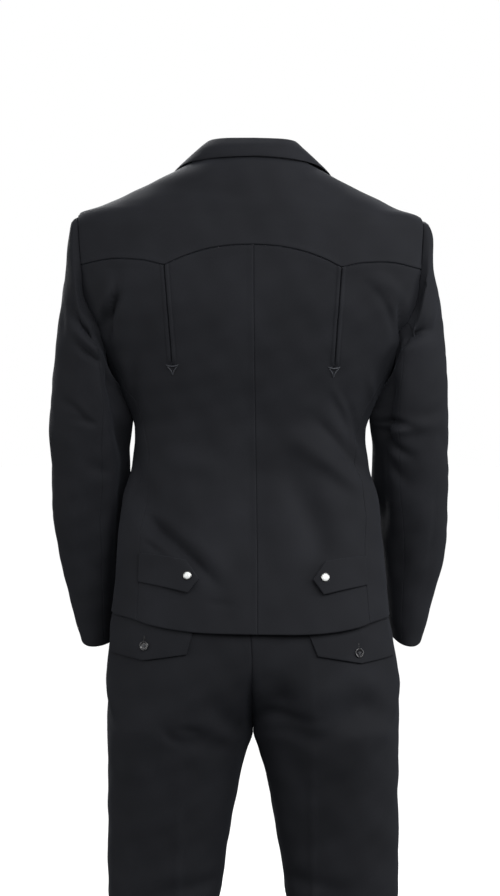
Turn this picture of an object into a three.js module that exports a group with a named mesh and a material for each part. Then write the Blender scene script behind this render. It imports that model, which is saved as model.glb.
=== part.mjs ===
// Western suit as worn: a short jacket with a scalloped back yoke, two back pleats ending in
// arrowhead tacks and a pair of pointed snap tabs, over straight trousers with pointed and
// buttoned back pocket flaps.
// Frame: millimetres, +Z up, the wearer faces -Y and the wearer's left is +X. The origin is at
// the base of the neck, where the jacket rests on the wearer's shoulders.
import * as THREE from 'three';

// ---------------------------------------------------------------- driving sizes
const CLOTH = 1.6; // wall of a panel: faced and pressed suiting
const SEAM = 0.5; // gap left between two pieces that are sewn together
const LAID = 0.9; // gap under a piece that lies on a panel
const NECK = 8; // height of the back neck seam
const SHOULDER_END = -74; // height of the outer end of the shoulder seam
const LEAN = 0.014; // the left shoulder stands higher than the right
const TURN = 4; // the jacket's outline sits this far to the left of its centre seam
const DRIFT = 5; // how far the centre seam wanders to the right on its way to the hem
const TROUSER_SHIFT = 0.5; // the trousers sit this far to the left
const BUTTON_Z = -332; // upper front button, at the foot of the lapels
const LAP = 2.6; // lift of the left front over the right one
const WAIST = -474; // top of the trouser waistband
const BAND = 38; // height of the trouser waistband
const CROTCH = -763;
const TROUSER_HEM = -1525;

// Jacket rings. wide is the half width, back and front the Y of the centre back and centre
// front, mid the Y where the ring is widest, and square the fullness of its corners.
const TORSO = [
  { z: 8, wide: 67, back: 55, front: -40, mid: 4, square: 2.0 },
  { z: 0, wide: 78, back: 66, front: -49, mid: 4, square: 2.0 },
  { z: -12, wide: 99, back: 78, front: -57, mid: 4, square: 2.0 },
  { z: -28, wide: 130, back: 87, front: -66, mid: 4, square: 2.05 },
  { z: -45, wide: 164, back: 94, front: -76, mid: 4, square: 2.1 },
  { z: -61, wide: 200, back: 100, front: -85, mid: 3, square: 2.2 },
  { z: -74, wide: 231, back: 103, front: -92, mid: 3, square: 2.3 },
  { z: -90, wide: 239, back: 107, front: -99, mid: 2, square: 2.45 },
  { z: -139, wide: 240, back: 113, front: -117, mid: 1, square: 2.6 },
  { z: -190, wide: 233, back: 114, front: -129, mid: 0, square: 2.6 },
  { z: -240, wide: 212, back: 109, front: -133, mid: 2, square: 2.5 },
  { z: -285, wide: 188, back: 101, front: -131, mid: 5, square: 2.4 },
  { z: -320, wide: 170.5, back: 93, front: -127, mid: 9, square: 2.35 },
  { z: -360, wide: 155, back: 86, front: -123, mid: 14, square: 2.3 },
  { z: -412, wide: 160, back: 84, front: -120, mid: 18, square: 2.3 },
  { z: -455, wide: 172, back: 91, front: -120, mid: 20, square: 2.35 },
  { z: -510, wide: 178, back: 104, front: -122, mid: 21, square: 2.4 },
  { z: -565, wide: 182, back: 117, front: -124, mid: 21, square: 2.4 },
  { z: -606, wide: 187.5, back: 125, front: -126, mid: 20, square: 2.4 },
  { z: -645, wide: 191, back: 131, front: -127, mid: 19, square: 2.4 },
];

// Back of the armhole, from the shoulder end down to the side seam of the back.
const ARMHOLE_BACK = [
  { x: 231, z: -74 },
  { x: 230.5, z: -105 },
  { x: 227, z: -144 },
  { x: 222, z: -185 },
  { x: 206, z: -222 },
  { x: 193, z: -262 },
];
// Front of the armhole, from the side seam of the front up to the shoulder end.
const ARMHOLE_FRONT = [
  { x: 181, z: -266 },
  { x: 184, z: -225 },
  { x: 194, z: -170 },
  { x: 210, z: -120 },
  { x: 231, z: -74 },
];
const UNDERARM = -291;

// Scalloped yoke seam: a shallow scallop over the shoulder blade and a high one at the centre.
const YOKE_SIDE = [
  { x: 227, z: -144 },
  { x: 178, z: -137 },
  { x: 146, z: -139 },
  { x: 117, z: -145.5 },
];
const YOKE_CENTRE = [
  { x: 117, z: -145.5 },
  { x: 90, z: -133 },
  { x: 60, z: -123.5 },
  { x: 28, z: -118.5 },
  { x: 0, z: -117 },
];
// Seam between the back and the side panel, and between the side panel and the front.
const SIDE_BACK = [
  { x: 193, z: -262 },
  { x: 168, z: -305 },
  { x: 147, z: -345 },
  { x: 140, z: -385 },
  { x: 146, z: -435 },
  { x: 151, z: -480 },
  { x: 149, z: -530 },
  { x: 155, z: -616 },
];
const SIDE_FRONT = [
  { x: 181, z: -266 },
  { x: 158, z: -320 },
  { x: 143, z: -380 },
  { x: 150, z: -450 },
  { x: 158, z: -530 },
  { x: 162, z: -610 },
];
// Height of the hem by how far round the ring it is, in degrees from the centre back.
const HEM = [
  { turn: 0, z: -630 },
  { turn: 22, z: -630 },
  { turn: 36, z: -629 },
  { turn: 48, z: -626 },
  { turn: 59, z: -620.5 },
  { turn: 69, z: -612.5 },
  { turn: 90, z: -606 },
  { turn: 130, z: -612 },
  { turn: 190, z: -622 },
];
// Front edge: down the neck, along the fold of the lapel to the button and on to the hem.
const NECK_FRONT = [
  { x: 67, z: 8 },
  { x: 73, z: -12 },
  { x: 71, z: -38 },
];
const FRONT_LAP = 14; // how far each front passes the centre
const NOTCH = [
  { x: 71, z: -39.4 },
  { x: 96, z: -48.5 },
  { x: 116, z: -68 },
];
const LAPEL_EDGE = [
  { x: 116, z: -68 },
  { x: 112, z: -130 },
  { x: 90, z: -205 },
  { x: 48, z: -275 },
  { x: -6, z: -326 },
];

// Collar: the fold along the top and the outer edge of the fall, by turn round the neck.
// The fold is given by its own place, and the edge lies on the jacket at edge_turn, edge_z.
const COLLAR = [
  { turn: 0, x: 0, y: 44, z: 28, edge_turn: 0, edge_z: 1 },
  { turn: 35, x: 35, y: 37, z: 28, edge_turn: 34, edge_z: -0.5 },
  { turn: 65, x: 55, y: 19, z: 26.5, edge_turn: 62, edge_z: -3.5 },
  { turn: 90, x: 61, y: -5, z: 21.5, edge_turn: 86, edge_z: -8 },
  { turn: 115, x: 65.5, y: -33, z: 7, edge_turn: 104, edge_z: -22 },
  { turn: 140, x: 72, y: -64, z: -34, edge_turn: 121, edge_z: -50 },
];
const STAND_TURN = 112; // where the stand runs out under the fall

// Sleeve rings, from the armhole to the cuff. out and in are the outer and the inner edge of
// each ring, for the left and the right arm, y is its middle, deep its half depth, lean the
// angle in degrees by which its back hangs lower, and square the fullness of its corners.
const SLEEVE = [
  { out_l: 232, out_r: 230, out_z: -75, in_l: 188.5, in_r: 186.5, in_z: -292, y: 0, deep: 64, lean: 0 },
  { out_l: 241, out_r: 239, out_z: -81, in_l: 190, in_r: 187, in_z: -297, y: 0, deep: 68, lean: 0 },
  { out_l: 248, out_r: 243, out_z: -98, in_l: 187, in_r: 183.4, in_z: -303, y: -1, deep: 72, lean: 0 },
  { out_l: 253, out_r: 243, out_z: -137, in_l: 182, in_r: 178.2, in_z: -310, y: -3, deep: 76, lean: 0 },
  { out_l: 260, out_r: 253, out_z: -185, in_l: 177, in_r: 172.3, in_z: -320, y: -6, deep: 77, lean: 0 },
  { out_l: 268, out_r: 260, out_z: -243, in_l: 170, in_r: 164.2, in_z: -337, y: -10, deep: 75, lean: 1 },
  { out_l: 274, out_r: 263.5, out_z: -303, in_l: 165.5, in_r: 159.5, in_z: -360, y: -15, deep: 72, lean: 2 },
  { out_l: 278, out_r: 265.5, out_z: -362, in_l: 166.5, in_r: 160.5, in_z: -388, y: -22, deep: 69, lean: 4 },
  { out_l: 275, out_r: 266, out_z: -420, in_l: 167, in_r: 161, in_z: -424, y: -33, deep: 66, lean: 6 },
  { out_l: 274, out_r: 265, out_z: -477, in_l: 173, in_r: 169, in_z: -468, y: -44, deep: 63, lean: 9 },
  { out_l: 266, out_r: 262, out_z: -525, in_l: 175, in_r: 173.5, in_z: -514, y: -54, deep: 60, lean: 11 },
  { out_l: 256, out_r: 250, out_z: -570, in_l: 179, in_r: 178, in_z: -560, y: -62, deep: 58, lean: 12 },
  { out_l: 246, out_r: 240, out_z: -610, in_l: 182, in_r: 183, in_z: -601, y: -69, deep: 56, lean: 13 },
  { out_l: 236, out_r: 230, out_z: -645, in_l: 185, in_r: 188.5, in_z: -637, y: -75, deep: 54, lean: 14 },
];
const SLEEVE_SQUARE = 2.15;
const EASE_OUT = 3.2; // rings over which the armhole's own outline fades into the sleeve's

// Trouser rings. wide, back, front, mid and square are as on the jacket.
const HIPS = [
  { z: -474, wide: 157, back: 72, front: -98, mid: 6, square: 2.3 },
  { z: -512, wide: 165, back: 84, front: -103, mid: 8, square: 2.3 },
  { z: -560, wide: 176, back: 101, front: -105, mid: 12, square: 2.35 },
  { z: -606, wide: 185.2, back: 114, front: -103, mid: 15, square: 2.35 },
  { z: -640, wide: 190, back: 120, front: -99, mid: 15, square: 2.35 },
  { z: -700, wide: 196, back: 121, front: -91, mid: 12, square: 2.35 },
  { z: -763, wide: 196, back: 113, front: -85, mid: 8, square: 2.35 },
];
// Leg rings: inner and outer edge, and the Y of the back and of the front of the leg.
const LEG = [
  { z: -640, inner: 0.2, outer: 190, back: 118, front: -97 },
  { z: -700, inner: 0.2, outer: 196, back: 116, front: -90 },
  { z: -763, inner: 0.4, outer: 196, back: 106, front: -84 },
  { z: -790, inner: 9, outer: 195.5, back: 99, front: -81 },
  { z: -846, inner: 22, outer: 195, back: 88, front: -77 },
  { z: -960, inner: 41, outer: 195, back: 74, front: -73 },
  { z: -1110, inner: 57, outer: 196, back: 66, front: -70 },
  { z: -1290, inner: 66, outer: 198, back: 66, front: -66 },
  { z: -1525, inner: 70, outer: 202, back: 66, front: -68 },
];

// The largest folds of the back, as soft ridges from one place to another: positive x is the
// wearer's left, wide the half width and rise the height, negative for a trough.
const FOLDS = [
  { x: 186, z: -160, to_x: 196, to_z: -215, wide: 12, rise: 5 },
  { x: -160, z: -162, to_x: -194, to_z: -205, wide: 13, rise: 5 },
  { x: -112, z: -315, to_x: -142, to_z: -385, wide: 13, rise: -4.5 },
  { x: -52, z: -362, to_x: -130, to_z: -425, wide: 17, rise: 4 },
  { x: 148, z: -462, to_x: 50, to_z: -555, wide: 20, rise: 3.5 },
  { x: 130, z: -395, to_x: 40, to_z: -418, wide: 16, rise: 3 },
  { x: 112, z: -765, to_x: 34, to_z: -790, wide: 15, rise: -3 },
  { x: -50, z: -757, to_x: -104, to_z: -782, wide: 15, rise: -3 },
];

// Materials
const SUITING = { color: '#1f2023', roughness: 0.86, metalness: 0 };
const SUITING_TRIM = { color: '#1b1c1f', roughness: 0.8, metalness: 0 };
const THREAD = { color: '#3a3c42', roughness: 0.5, metalness: 0.1 };
const HORN = { color: '#111214', roughness: 0.25, metalness: 0 };
const PEARL = { color: '#f1f2ee', roughness: 0.22, metalness: 0.25 };

const suit = new THREE.Group();

// ---------------------------------------------------------------- tables and curves
// A smooth reading of one column of a table, never past the rows on either side of it.
function reader(table, key, name) {
  const rows = [...table].sort((a, b) => a[key] - b[key]);
  const last = rows.length - 1;
  const rise = rows.slice(1).map((row, i) => {
    const before = rows[i];
    return (row[name] - before[name]) / (row[key] - before[key]);
  });
  const slope = rows.map((row, i) => {
    if (i === 0 || i === last) return rise[Math.min(i, last - 1)];
    const [above, below] = [rise[i - 1], rise[i]];
    return above * below > 0 ? (2 * above * below) / (above + below) : 0;
  });
  return at => {
    const place = Math.min(Math.max(at, rows[0][key]), rows[last][key]);
    const i = Math.min(Math.max(rows.findIndex(row => row[key] > place) - 1, 0), last - 1);
    const k = place >= rows[last][key] ? last - 1 : i;
    const step = rows[k + 1][key] - rows[k][key];
    const t = (place - rows[k][key]) / step;
    const ends = rows[k][name] * (1 + 2 * t) * (1 - t) ** 2 + rows[k + 1][name] * t * t * (3 - 2 * t);
    return ends + step * (slope[k] * t * (1 - t) ** 2 - slope[k + 1] * t * t * (1 - t));
  };
}
function readers(table, key, names) {
  return Object.fromEntries(names.map(name => [name, reader(table, key, name)]));
}
const mix = (a, b, t) => a + (b - a) * t;
const clamp01 = t => Math.min(Math.max(t, 0), 1);
const smooth = t => clamp01(t) ** 2 * (3 - 2 * clamp01(t));
const steps = count => Array.from({ length: count + 1 }, (_, i) => i / count);
const radians = degrees => (degrees * Math.PI) / 180;

// ---------------------------------------------------------------- jacket surface
const RING = ['wide', 'back', 'front', 'mid', 'square'];
const torsoAt = readers(TORSO, 'z', RING);
const hipsAt = readers(HIPS, 'z', RING);
const hemAt = reader(HEM, 'turn', 'z');

// Point of a ring: angle 0 is the centre back, a quarter turn the wearer's left side.
function ringPoint(at, angle, z) {
  const [sine, cosine] = [Math.sin(angle), Math.cos(angle)];
  const deep = cosine >= 0 ? at.back(z) - at.mid(z) : at.mid(z) - at.front(z);
  const n = at.square(z);
  const reach = (Math.abs(sine / at.wide(z)) ** n + Math.abs(cosine / deep) ** n) ** (-1 / n);
  return new THREE.Vector3(reach * sine, at.mid(z) + reach * cosine, z);
}
const torso = ([angle, z]) => ringPoint(torsoAt, angle, z);

// Place on a ring, as an angle, of the point that is x from the centre, at the back or front.
function angleAt(at, x, z, front) {
  const n = at.square(z);
  const deep = front ? at.front(z) - at.mid(z) : at.back(z) - at.mid(z);
  const y = deep * (1 - Math.min(Math.abs(x) / at.wide(z), 1) ** n) ** (1 / n);
  const angle = Math.atan2(x, y);
  return front && x < 0 ? angle + 2 * Math.PI : angle;
}

// How far a garment's own place stands aside: share is 0 at its centre, 1 at its outline.
const DRIFT_FROM = -140; // heights between which the centre seam wanders
const DRIFT_TO = -600;
const HANG = -700; // the trousers hang free of the jacket's turn below this height
const HANG_BLEND = 90;
torsoAt.sway = (share, z) => {
  const drift = DRIFT * smooth((DRIFT_FROM - z) / (DRIFT_FROM - DRIFT_TO));
  return TURN * share ** 2 - drift * (1 - share ** 2);
};
hipsAt.sway = (share, z) => mix(TROUSER_SHIFT, TURN, smooth((z - HANG) / HANG_BLEND));

// Rise of the cloth of the back at a place, by the folds that cross it. Each runs out softly
// over a share of its length beyond either end.
const FOLD_RUN = 0.25;
function foldRise(x, z) {
  return FOLDS.reduce((sum, fold) => {
    const [along, down] = [fold.to_x - fold.x, fold.to_z - fold.z];
    const length = Math.hypot(along, down);
    const way = ((x - fold.x) * along + (z - fold.z) * down) / length ** 2;
    const off = ((x - fold.x) * down - (z - fold.z) * along) / length;
    const [start, finish] = [way + FOLD_RUN, 1 + FOLD_RUN - way];
    const ends = smooth(start / (2 * FOLD_RUN)) * smooth(finish / (2 * FOLD_RUN));
    return sum + fold.rise * ends * Math.exp(-((off / fold.wide) ** 2));
  }, 0);
}

// The worn garment leans, turns and folds a little; side is 1 for left and -1 for right.
function worn(point, side, at) {
  const x = point.x * side;
  const share = THREE.MathUtils.clamp(x / at.wide(point.z), -1, 1);
  const fade = 1 - smooth((point.z - CROTCH) / (TROUSER_HEM - CROTCH));
  const rise = point.y > 0 ? foldRise(x, point.z) : 0;
  const aside = at.sway(share, point.z) * fade;
  return new THREE.Vector3(x + aside, point.y + rise, point.z + LEAN * x * fade);
}

// Evenly spaced places along a curve through the rows {x, z} on the back or the front.
function seam(rows, count, front) {
  const length = [0];
  rows.slice(1).forEach((row, i) => {
    length.push(length[i] + Math.hypot(row.x - rows[i].x, row.z - rows[i].z));
  });
  const knots = rows.map((row, i) => ({ ...row, length: length[i] }));
  const at = readers(knots, 'length', ['x', 'z']);
  return steps(count).map(t => {
    const far = t * length[length.length - 1];
    return [angleAt(torsoAt, at.x(far), at.z(far), front), at.z(far)];
  });
}
const join = (first, second) => [...first, ...second.slice(1)];
const back = curve => [...curve].reverse();

// The seams of the left half of the jacket, as lists of [angle, z].
const shoulderSeam = steps(5).map(t => [Math.PI / 2, mix(NECK, SHOULDER_END, t)]);
const armholeYoke = seam(ARMHOLE_BACK.slice(0, 3), 2, false);
const armholeBack = seam(ARMHOLE_BACK.slice(2), 5, false);
const armholeFront = seam(ARMHOLE_FRONT, 7, true);
const armholeUnder = steps(6).map(t => {
  const [from, to] = [armholeBack[5], armholeFront[0]];
  const sag = Math.sin(Math.PI * t) ** 0.8;
  return [mix(from[0], to[0], t), mix(mix(from[1], to[1], t), UNDERARM, sag)];
});
const yokeSeam = join(seam(YOKE_SIDE, 3, false), seam(YOKE_CENTRE, 4, false));
const sideBack = seam(SIDE_BACK, 9, false);
const sideFront = seam(SIDE_FRONT, 9, true);
const neckBack = steps(7).map(t => [mix(Math.PI / 2, 0, t), NECK]);
const foldTop = NECK_FRONT[NECK_FRONT.length - 1];
const frontEdge = join(
  join(seam(NECK_FRONT, 3, true), seam([foldTop, { x: -FRONT_LAP, z: BUTTON_Z }], 7, true)),
  seam([{ x: -FRONT_LAP, z: BUTTON_Z }, { x: -FRONT_LAP, z: -622 }], 6, true),
);
// Lowers the foot of a seam to the hem, so that the pieces end in one line.
function toHem(curve) {
  const foot = curve[curve.length - 1];
  const drop = hemAt(THREE.MathUtils.radToDeg(foot[0])) - foot[1];
  return curve.map(([angle, z], i) => [angle, z + drop * (i / (curve.length - 1)) ** 3]);
}
const hemBetween = (from, to, count) =>
  steps(count).map(t => {
    const angle = mix(from[0], to[0], t);
    return [angle, hemAt(THREE.MathUtils.radToDeg(angle))];
  });
const sideBackSeam = toHem(sideBack);
const sideFrontSeam = toHem(sideFront);
const frontEdgeSeam = toHem(frontEdge);
const centreBack = steps(14).map(t => [0, mix(yokeSeam[7][1], hemAt(0), t)]);

// Fills four seams, given as lists of places, with a grid of places: rows run down.
function fill(top, bottom, left, right) {
  return left.map((leftPlace, j) => {
    const t = j / (left.length - 1);
    return top.map((topPlace, i) => {
      const s = i / (top.length - 1);
      return [0, 1].map(axis => {
        const across = mix(leftPlace[axis], right[j][axis], s);
        const down = mix(topPlace[axis], bottom[i][axis], t);
        const upper = mix(top[0][axis], top[top.length - 1][axis], s);
        const lower = mix(bottom[0][axis], bottom[bottom.length - 1][axis], s);
        return across + down - mix(upper, lower, t);
      });
    });
  });
}

// ---------------------------------------------------------------- cloth as closed walls
// Outward normal of a surface of [angle, z] places.
function normalAt(surface, [angle, z]) {
  const [turn, rise] = [0.002, 0.4];
  const along = surface([angle + turn, z]).sub(surface([angle - turn, z]));
  const up = surface([angle, z + rise]).sub(surface([angle, z - rise]));
  return up.cross(along).normalize();
}

// Draws the border of a grid of points in by half a seam, square to the border, so that sewn
// pieces don't touch.
function tuck(points) {
  const [rows, columns] = [points.length, points[0].length];
  const drawn = points.map(row => row.map(point => point.clone()));
  const draw = (line, inner, place) =>
    line.forEach((point, k) => {
      const along = line[Math.min(k + 1, line.length - 1)].clone().sub(line[Math.max(k - 1, 0)]).normalize();
      const inward = inner[k].clone().sub(point);
      inward.addScaledVector(along, -inward.dot(along)).setLength(SEAM / 2);
      const [j, i] = place(k);
      drawn[j][i].add(inward);
    });
  const column = i => points.map(row => row[i]);
  draw(points[0], points[1], k => [0, k]);
  draw(points[rows - 1], points[rows - 2], k => [rows - 1, k]);
  draw(column(0), column(1), k => [k, 0]);
  draw(column(columns - 1), column(columns - 2), k => [k, columns - 1]);
  return drawn;
}

function addMesh(name, geometry, finish) {
  const mesh = new THREE.Mesh(geometry, new THREE.MeshStandardMaterial(finish));
  mesh.name = name;
  suit.add(mesh);
  return mesh;
}

// Six times the volume inside a closed list of triangles.
function volumeOf(vertices, faces) {
  return faces.reduce((sum, [a, b, c]) => {
    const [p, q, r] = [vertices[a], vertices[b], vertices[c]];
    return sum + p.dot(q.clone().cross(r));
  }, 0);
}

// Closed wall between two grids of points, one on each face of the cloth.
function addWall(name, outer, inner, finish) {
  const [rows, columns] = [outer.length, outer[0].length];
  const vertices = [...outer.flat(), ...inner.flat()];
  const under = rows * columns;
  const at = (j, i) => j * columns + i;
  const faces = [];
  const quad = (a, b, c, d) => faces.push([a, b, c], [a, c, d]);
  for (let j = 0; j < rows - 1; j += 1) {
    for (let i = 0; i < columns - 1; i += 1) {
      const corners = [at(j, i), at(j + 1, i), at(j + 1, i + 1), at(j, i + 1)];
      quad(...corners);
      quad(...corners.map(corner => corner + under).reverse());
    }
  }
  const rim = [];
  for (let i = 0; i < columns - 1; i += 1) rim.push(at(0, i));
  for (let j = 0; j < rows - 1; j += 1) rim.push(at(j, columns - 1));
  for (let i = columns - 1; i > 0; i -= 1) rim.push(at(rows - 1, i));
  for (let j = rows - 1; j > 0; j -= 1) rim.push(at(j, 0));
  rim.forEach((corner, k) => {
    const next = rim[(k + 1) % rim.length];
    quad(corner, next, next + under, corner + under);
  });
  if (volumeOf(vertices, faces) < 0) faces.forEach(face => face.reverse());
  const geometry = new THREE.BufferGeometry();
  const numbers = vertices.flatMap(vertex => [vertex.x, vertex.y, vertex.z]);
  geometry.setAttribute('position', new THREE.Float32BufferAttribute(numbers, 3));
  geometry.setIndex(faces.flat());
  geometry.computeVertexNormals();
  addMesh(name, geometry, finish);
}

// Cloth on a surface: lift is how far its underside stands off the panel below, or minus the
// wall for a panel itself, and may follow the place.
function addPiece(name, places, options) {
  const { surface = torso, at = torsoAt, side = 1, lift = () => -CLOTH, thick = CLOTH } = options;
  const points = tuck(places.map(row => row.map(surface)));
  const face = raise =>
    places.map((row, j) =>
      row.map((place, i) => {
        const point = points[j][i];
        const off = lift(point) + raise;
        return worn(point.clone().addScaledVector(normalAt(surface, place), off), side, at);
      }),
    );
  addWall(name, face(thick), face(0), options.finish ?? SUITING);
}

const SIDES = [
  ['left', 1],
  ['right', -1],
];
const mirrored = places => places.map(([angle, z]) => [-angle, z]);

// ---------------------------------------------------------------- jacket body
// Back yoke, in one piece from armhole to armhole.
function addYoke() {
  const edge = join(shoulderSeam, armholeYoke);
  const top = join(neckBack, back(mirrored(neckBack)));
  const bottom = join(yokeSeam, back(mirrored(yokeSeam)));
  addPiece('back_yoke', fill(top, bottom, edge, mirrored(edge)), {});
}
// How far the left front is lifted where it laps over the right front, rising from LAP_FROM.
const LAP_FROM = 95;
const LAP_BLEND = 75;
const lapLift = side => point =>
  side > 0 && point.y < 0 ? LAP * smooth((LAP_FROM - point.x) / LAP_BLEND) : 0;

function addBody() {
  const backHem = hemBetween(sideBackSeam[9], [0, 0], 7);
  const sideHem = hemBetween(sideBackSeam[9], sideFrontSeam[9], 6);
  const frontHem = hemBetween(sideFrontSeam[9], frontEdgeSeam[16], 5);
  const backEdge = join(armholeBack, sideBackSeam);
  const frontSide = join(back(armholeFront), sideFrontSeam);
  for (const [hand, side] of SIDES) {
    const lift = point => lapLift(side)(point) - CLOTH;
    addPiece(`back_${hand}`, fill(yokeSeam, backHem, backEdge, centreBack), { side });
    addPiece(`side_${hand}`, fill(armholeUnder, sideHem, sideBackSeam, sideFrontSeam), { side });
    addPiece(`front_${hand}`, fill(back(shoulderSeam), frontHem, frontSide, frontEdgeSeam), { side, lift });
  }
}

// Lapels lie folded back on the fronts. The right one ends higher, under the left front: length
// is its share of the whole fold, and width of the whole edge's reach to the centre.
const LAPEL_SHARE = { left: { length: 1, width: 1 }, right: { length: 0.8, width: 0.87 } };
function addLapels() {
  for (const [hand, side] of SIDES) {
    const { length, width } = LAPEL_SHARE[hand];
    const foldEnd = { x: mix(foldTop.x, -FRONT_LAP, length), z: mix(foldTop.z, BUTTON_Z, length) };
    const fold = seam([NOTCH[0], foldEnd], 8, true);
    const corner = NOTCH[2];
    const shrink = row => ({ x: mix(corner.x, row.x, width), z: mix(corner.z, row.z, length) });
    const edge = seam(LAPEL_EDGE.map(shrink), 8, true);
    const foot = steps(4).map(t => [0, 1].map(axis => mix(fold[8][axis], edge[8][axis], t)));
    const lift = point => 2 * LAID + lapLift(side)(point);
    addPiece(`lapel_${hand}`, fill(seam(NOTCH, 4, true), foot, fold, edge), { side, lift });
  }
}

// ---------------------------------------------------------------- collar
const COLLAR_BULGE = 4.4; // how far the fall swells between its fold and its edge
const COLLAR_OUT = 0.6; // rise of the way in which it swells, against 1 outwards
const STAND_RISE = 2.1; // height of the foot of the stand over the neck seam
const STAND_INSET = 2.6; // how far it stands inside the fold
const STAND_TAPER = 0.6; // share of the inset that is lost at the foot
const STAND_TOP = 0.98; // share of the way from the foot to the fold
const GORGE_DROP = 14; // how much lower the stand is seated at the front
const GORGE_FROM = 80; // turn at which it starts to drop
const GORGE_BLEND = 45;
const collarAt = readers(COLLAR, 'turn', ['x', 'y', 'z', 'edge_turn', 'edge_z']);
function collarEdge(turn) {
  const place = [radians(collarAt.edge_turn(turn)), collarAt.edge_z(turn)];
  return torso(place).addScaledVector(normalAt(torso, place), CLOTH);
}
const collarFold = turn => new THREE.Vector3(...['x', 'y', 'z'].map(axis => collarAt[axis](turn)));
const TURNS = [140, 120, 100, 80, 60, 40, 20, 0];
function aroundNeck(make) {
  const left = TURNS.map(turn => make(turn, 1));
  const right = back(TURNS.slice(0, -1)).map(turn => make(turn, -1));
  return [...left, ...right];
}

// Offsets a grid of points by its own normals and closes it as a wall.
function addSheet(name, points, finish) {
  const [rows, columns] = [points.length, points[0].length];
  const raised = points.map((row, j) =>
    row.map((point, i) => {
      const across = row[Math.min(i + 1, columns - 1)].clone().sub(row[Math.max(i - 1, 0)]);
      const down = points[Math.min(j + 1, rows - 1)][i].clone().sub(points[Math.max(j - 1, 0)][i]);
      return point.clone().addScaledVector(down.cross(across).normalize(), CLOTH);
    }),
  );
  addWall(name, raised, points, finish);
}

const levelOut = angle => new THREE.Vector3(Math.sin(angle), Math.cos(angle), 0);
function addCollar() {
  const fall = steps(4).map(t =>
    aroundNeck((turn, side) => {
      const out = levelOut(radians(turn)).setZ(COLLAR_OUT).normalize();
      const swell = COLLAR_BULGE * 4 * t * (1 - t) + LAID;
      const point = collarFold(turn).lerp(collarEdge(turn), t).addScaledVector(out, swell);
      return worn(point, side, torsoAt);
    }),
  );
  const stand = steps(3).map(t =>
    aroundNeck((turn, side) => {
      const part = (turn * STAND_TURN) / TURNS[0];
      const angle = radians(part);
      const foot = torso([angle, NECK - GORGE_DROP * smooth((part - GORGE_FROM) / GORGE_BLEND)]);
      foot.z += STAND_RISE;
      const point = foot.lerp(collarFold(part), 1 - t * STAND_TOP);
      point.addScaledVector(levelOut(angle), -STAND_INSET * (1 - t * STAND_TAPER));
      return worn(point, side, torsoAt);
    }),
  );
  addSheet('collar_fall', fall, SUITING);
  addSheet('collar_stand', stand, SUITING_TRIM);
}

// ---------------------------------------------------------------- sleeves
const sleeveColumns = Object.keys(SLEEVE[0]);
const sleeveAt = readers(
  SLEEVE.map((row, ring) => ({ ...row, ring })),
  'ring',
  sleeveColumns,
);
// The armhole from the shoulder end, down its back, under the arm and up its front.
const armhole = join(join(join(armholeYoke, armholeBack), armholeUnder), armholeFront).slice(0, -1);
const HIND_SEAM = 5; // armhole places where the two seams of the sleeve start
const FORE_SEAM = 12;
const UNDER_PLACE = 10; // the lowest place of the armhole

// Angle round the sleeve of each place of the armhole, by its share of the way round.
function sleeveAngles() {
  const points = armhole.map(torso);
  const length = [0];
  points.forEach((point, i) => {
    length.push(length[i] + point.distanceTo(points[(i + 1) % points.length]));
  });
  const [bottom, whole] = [length[UNDER_PLACE], length[points.length]];
  return points.map((_, i) =>
    i <= UNDER_PLACE
      ? (Math.PI * length[i]) / bottom
      : Math.PI * (1 + (length[i] - bottom) / (whole - bottom)),
  );
}

function sleeveRings(hand, side) {
  const angles = sleeveAngles();
  const own = (ring, angle) => {
    const outer = new THREE.Vector2(sleeveAt[`out_${hand[0]}`](ring), sleeveAt.out_z(ring));
    const inner = new THREE.Vector2(sleeveAt[`in_${hand[0]}`](ring), sleeveAt.in_z(ring));
    const power = 2 / SLEEVE_SQUARE;
    const across = Math.sign(Math.cos(angle)) * Math.abs(Math.cos(angle)) ** power;
    const deep = Math.sign(Math.sin(angle)) * Math.abs(Math.sin(angle)) ** power * sleeveAt.deep(ring);
    const middle = inner.clone().lerp(outer, (1 + across) / 2);
    const lean = radians(sleeveAt.lean(ring));
    return new THREE.Vector3(
      middle.x * side,
      sleeveAt.y(ring) + deep * Math.cos(lean),
      middle.y - deep * Math.sin(lean),
    );
  };
  return SLEEVE.map((_, ring) => {
    const keep = 1 - smooth(ring / EASE_OUT);
    return armhole.map((place, i) => {
      const seat = worn(torso(place), side, torsoAt);
      const start = seat.sub(own(0, angles[i]));
      start.x += side * SEAM;
      return own(ring, angles[i]).addScaledVector(start, keep);
    });
  });
}

function addSleeves() {
  for (const [hand, side] of SIDES) {
    const rings = sleeveRings(hand, side);
    const count = armhole.length;
    const inside = rings.map((ring, j) =>
      ring.map((point, i) => {
        const across = ring[(i + 1) % count].clone().sub(ring[(i + count - 1) % count]);
        const [above, below] = [Math.max(j - 1, 0), Math.min(j + 1, rings.length - 1)];
        const down = rings[below][i].clone().sub(rings[above][i]);
        return point.clone().addScaledVector(across.cross(down).normalize(), CLOTH * side);
      }),
    );
    const cut = (rows, from, to) =>
      rows.map(row => Array.from({ length: to - from + 1 }, (_, i) => row[(from + i) % count]));
    const pieces = [
      [`sleeve_under_${hand}`, HIND_SEAM, FORE_SEAM],
      [`sleeve_top_${hand}`, FORE_SEAM, HIND_SEAM + count],
    ];
    for (const [name, from, to] of pieces) {
      const outer = tuck(cut(rings, from, to));
      const inner = tuck(cut(inside, from, to));
      addWall(name, outer, inner, SUITING);
    }
  }
}

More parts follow.
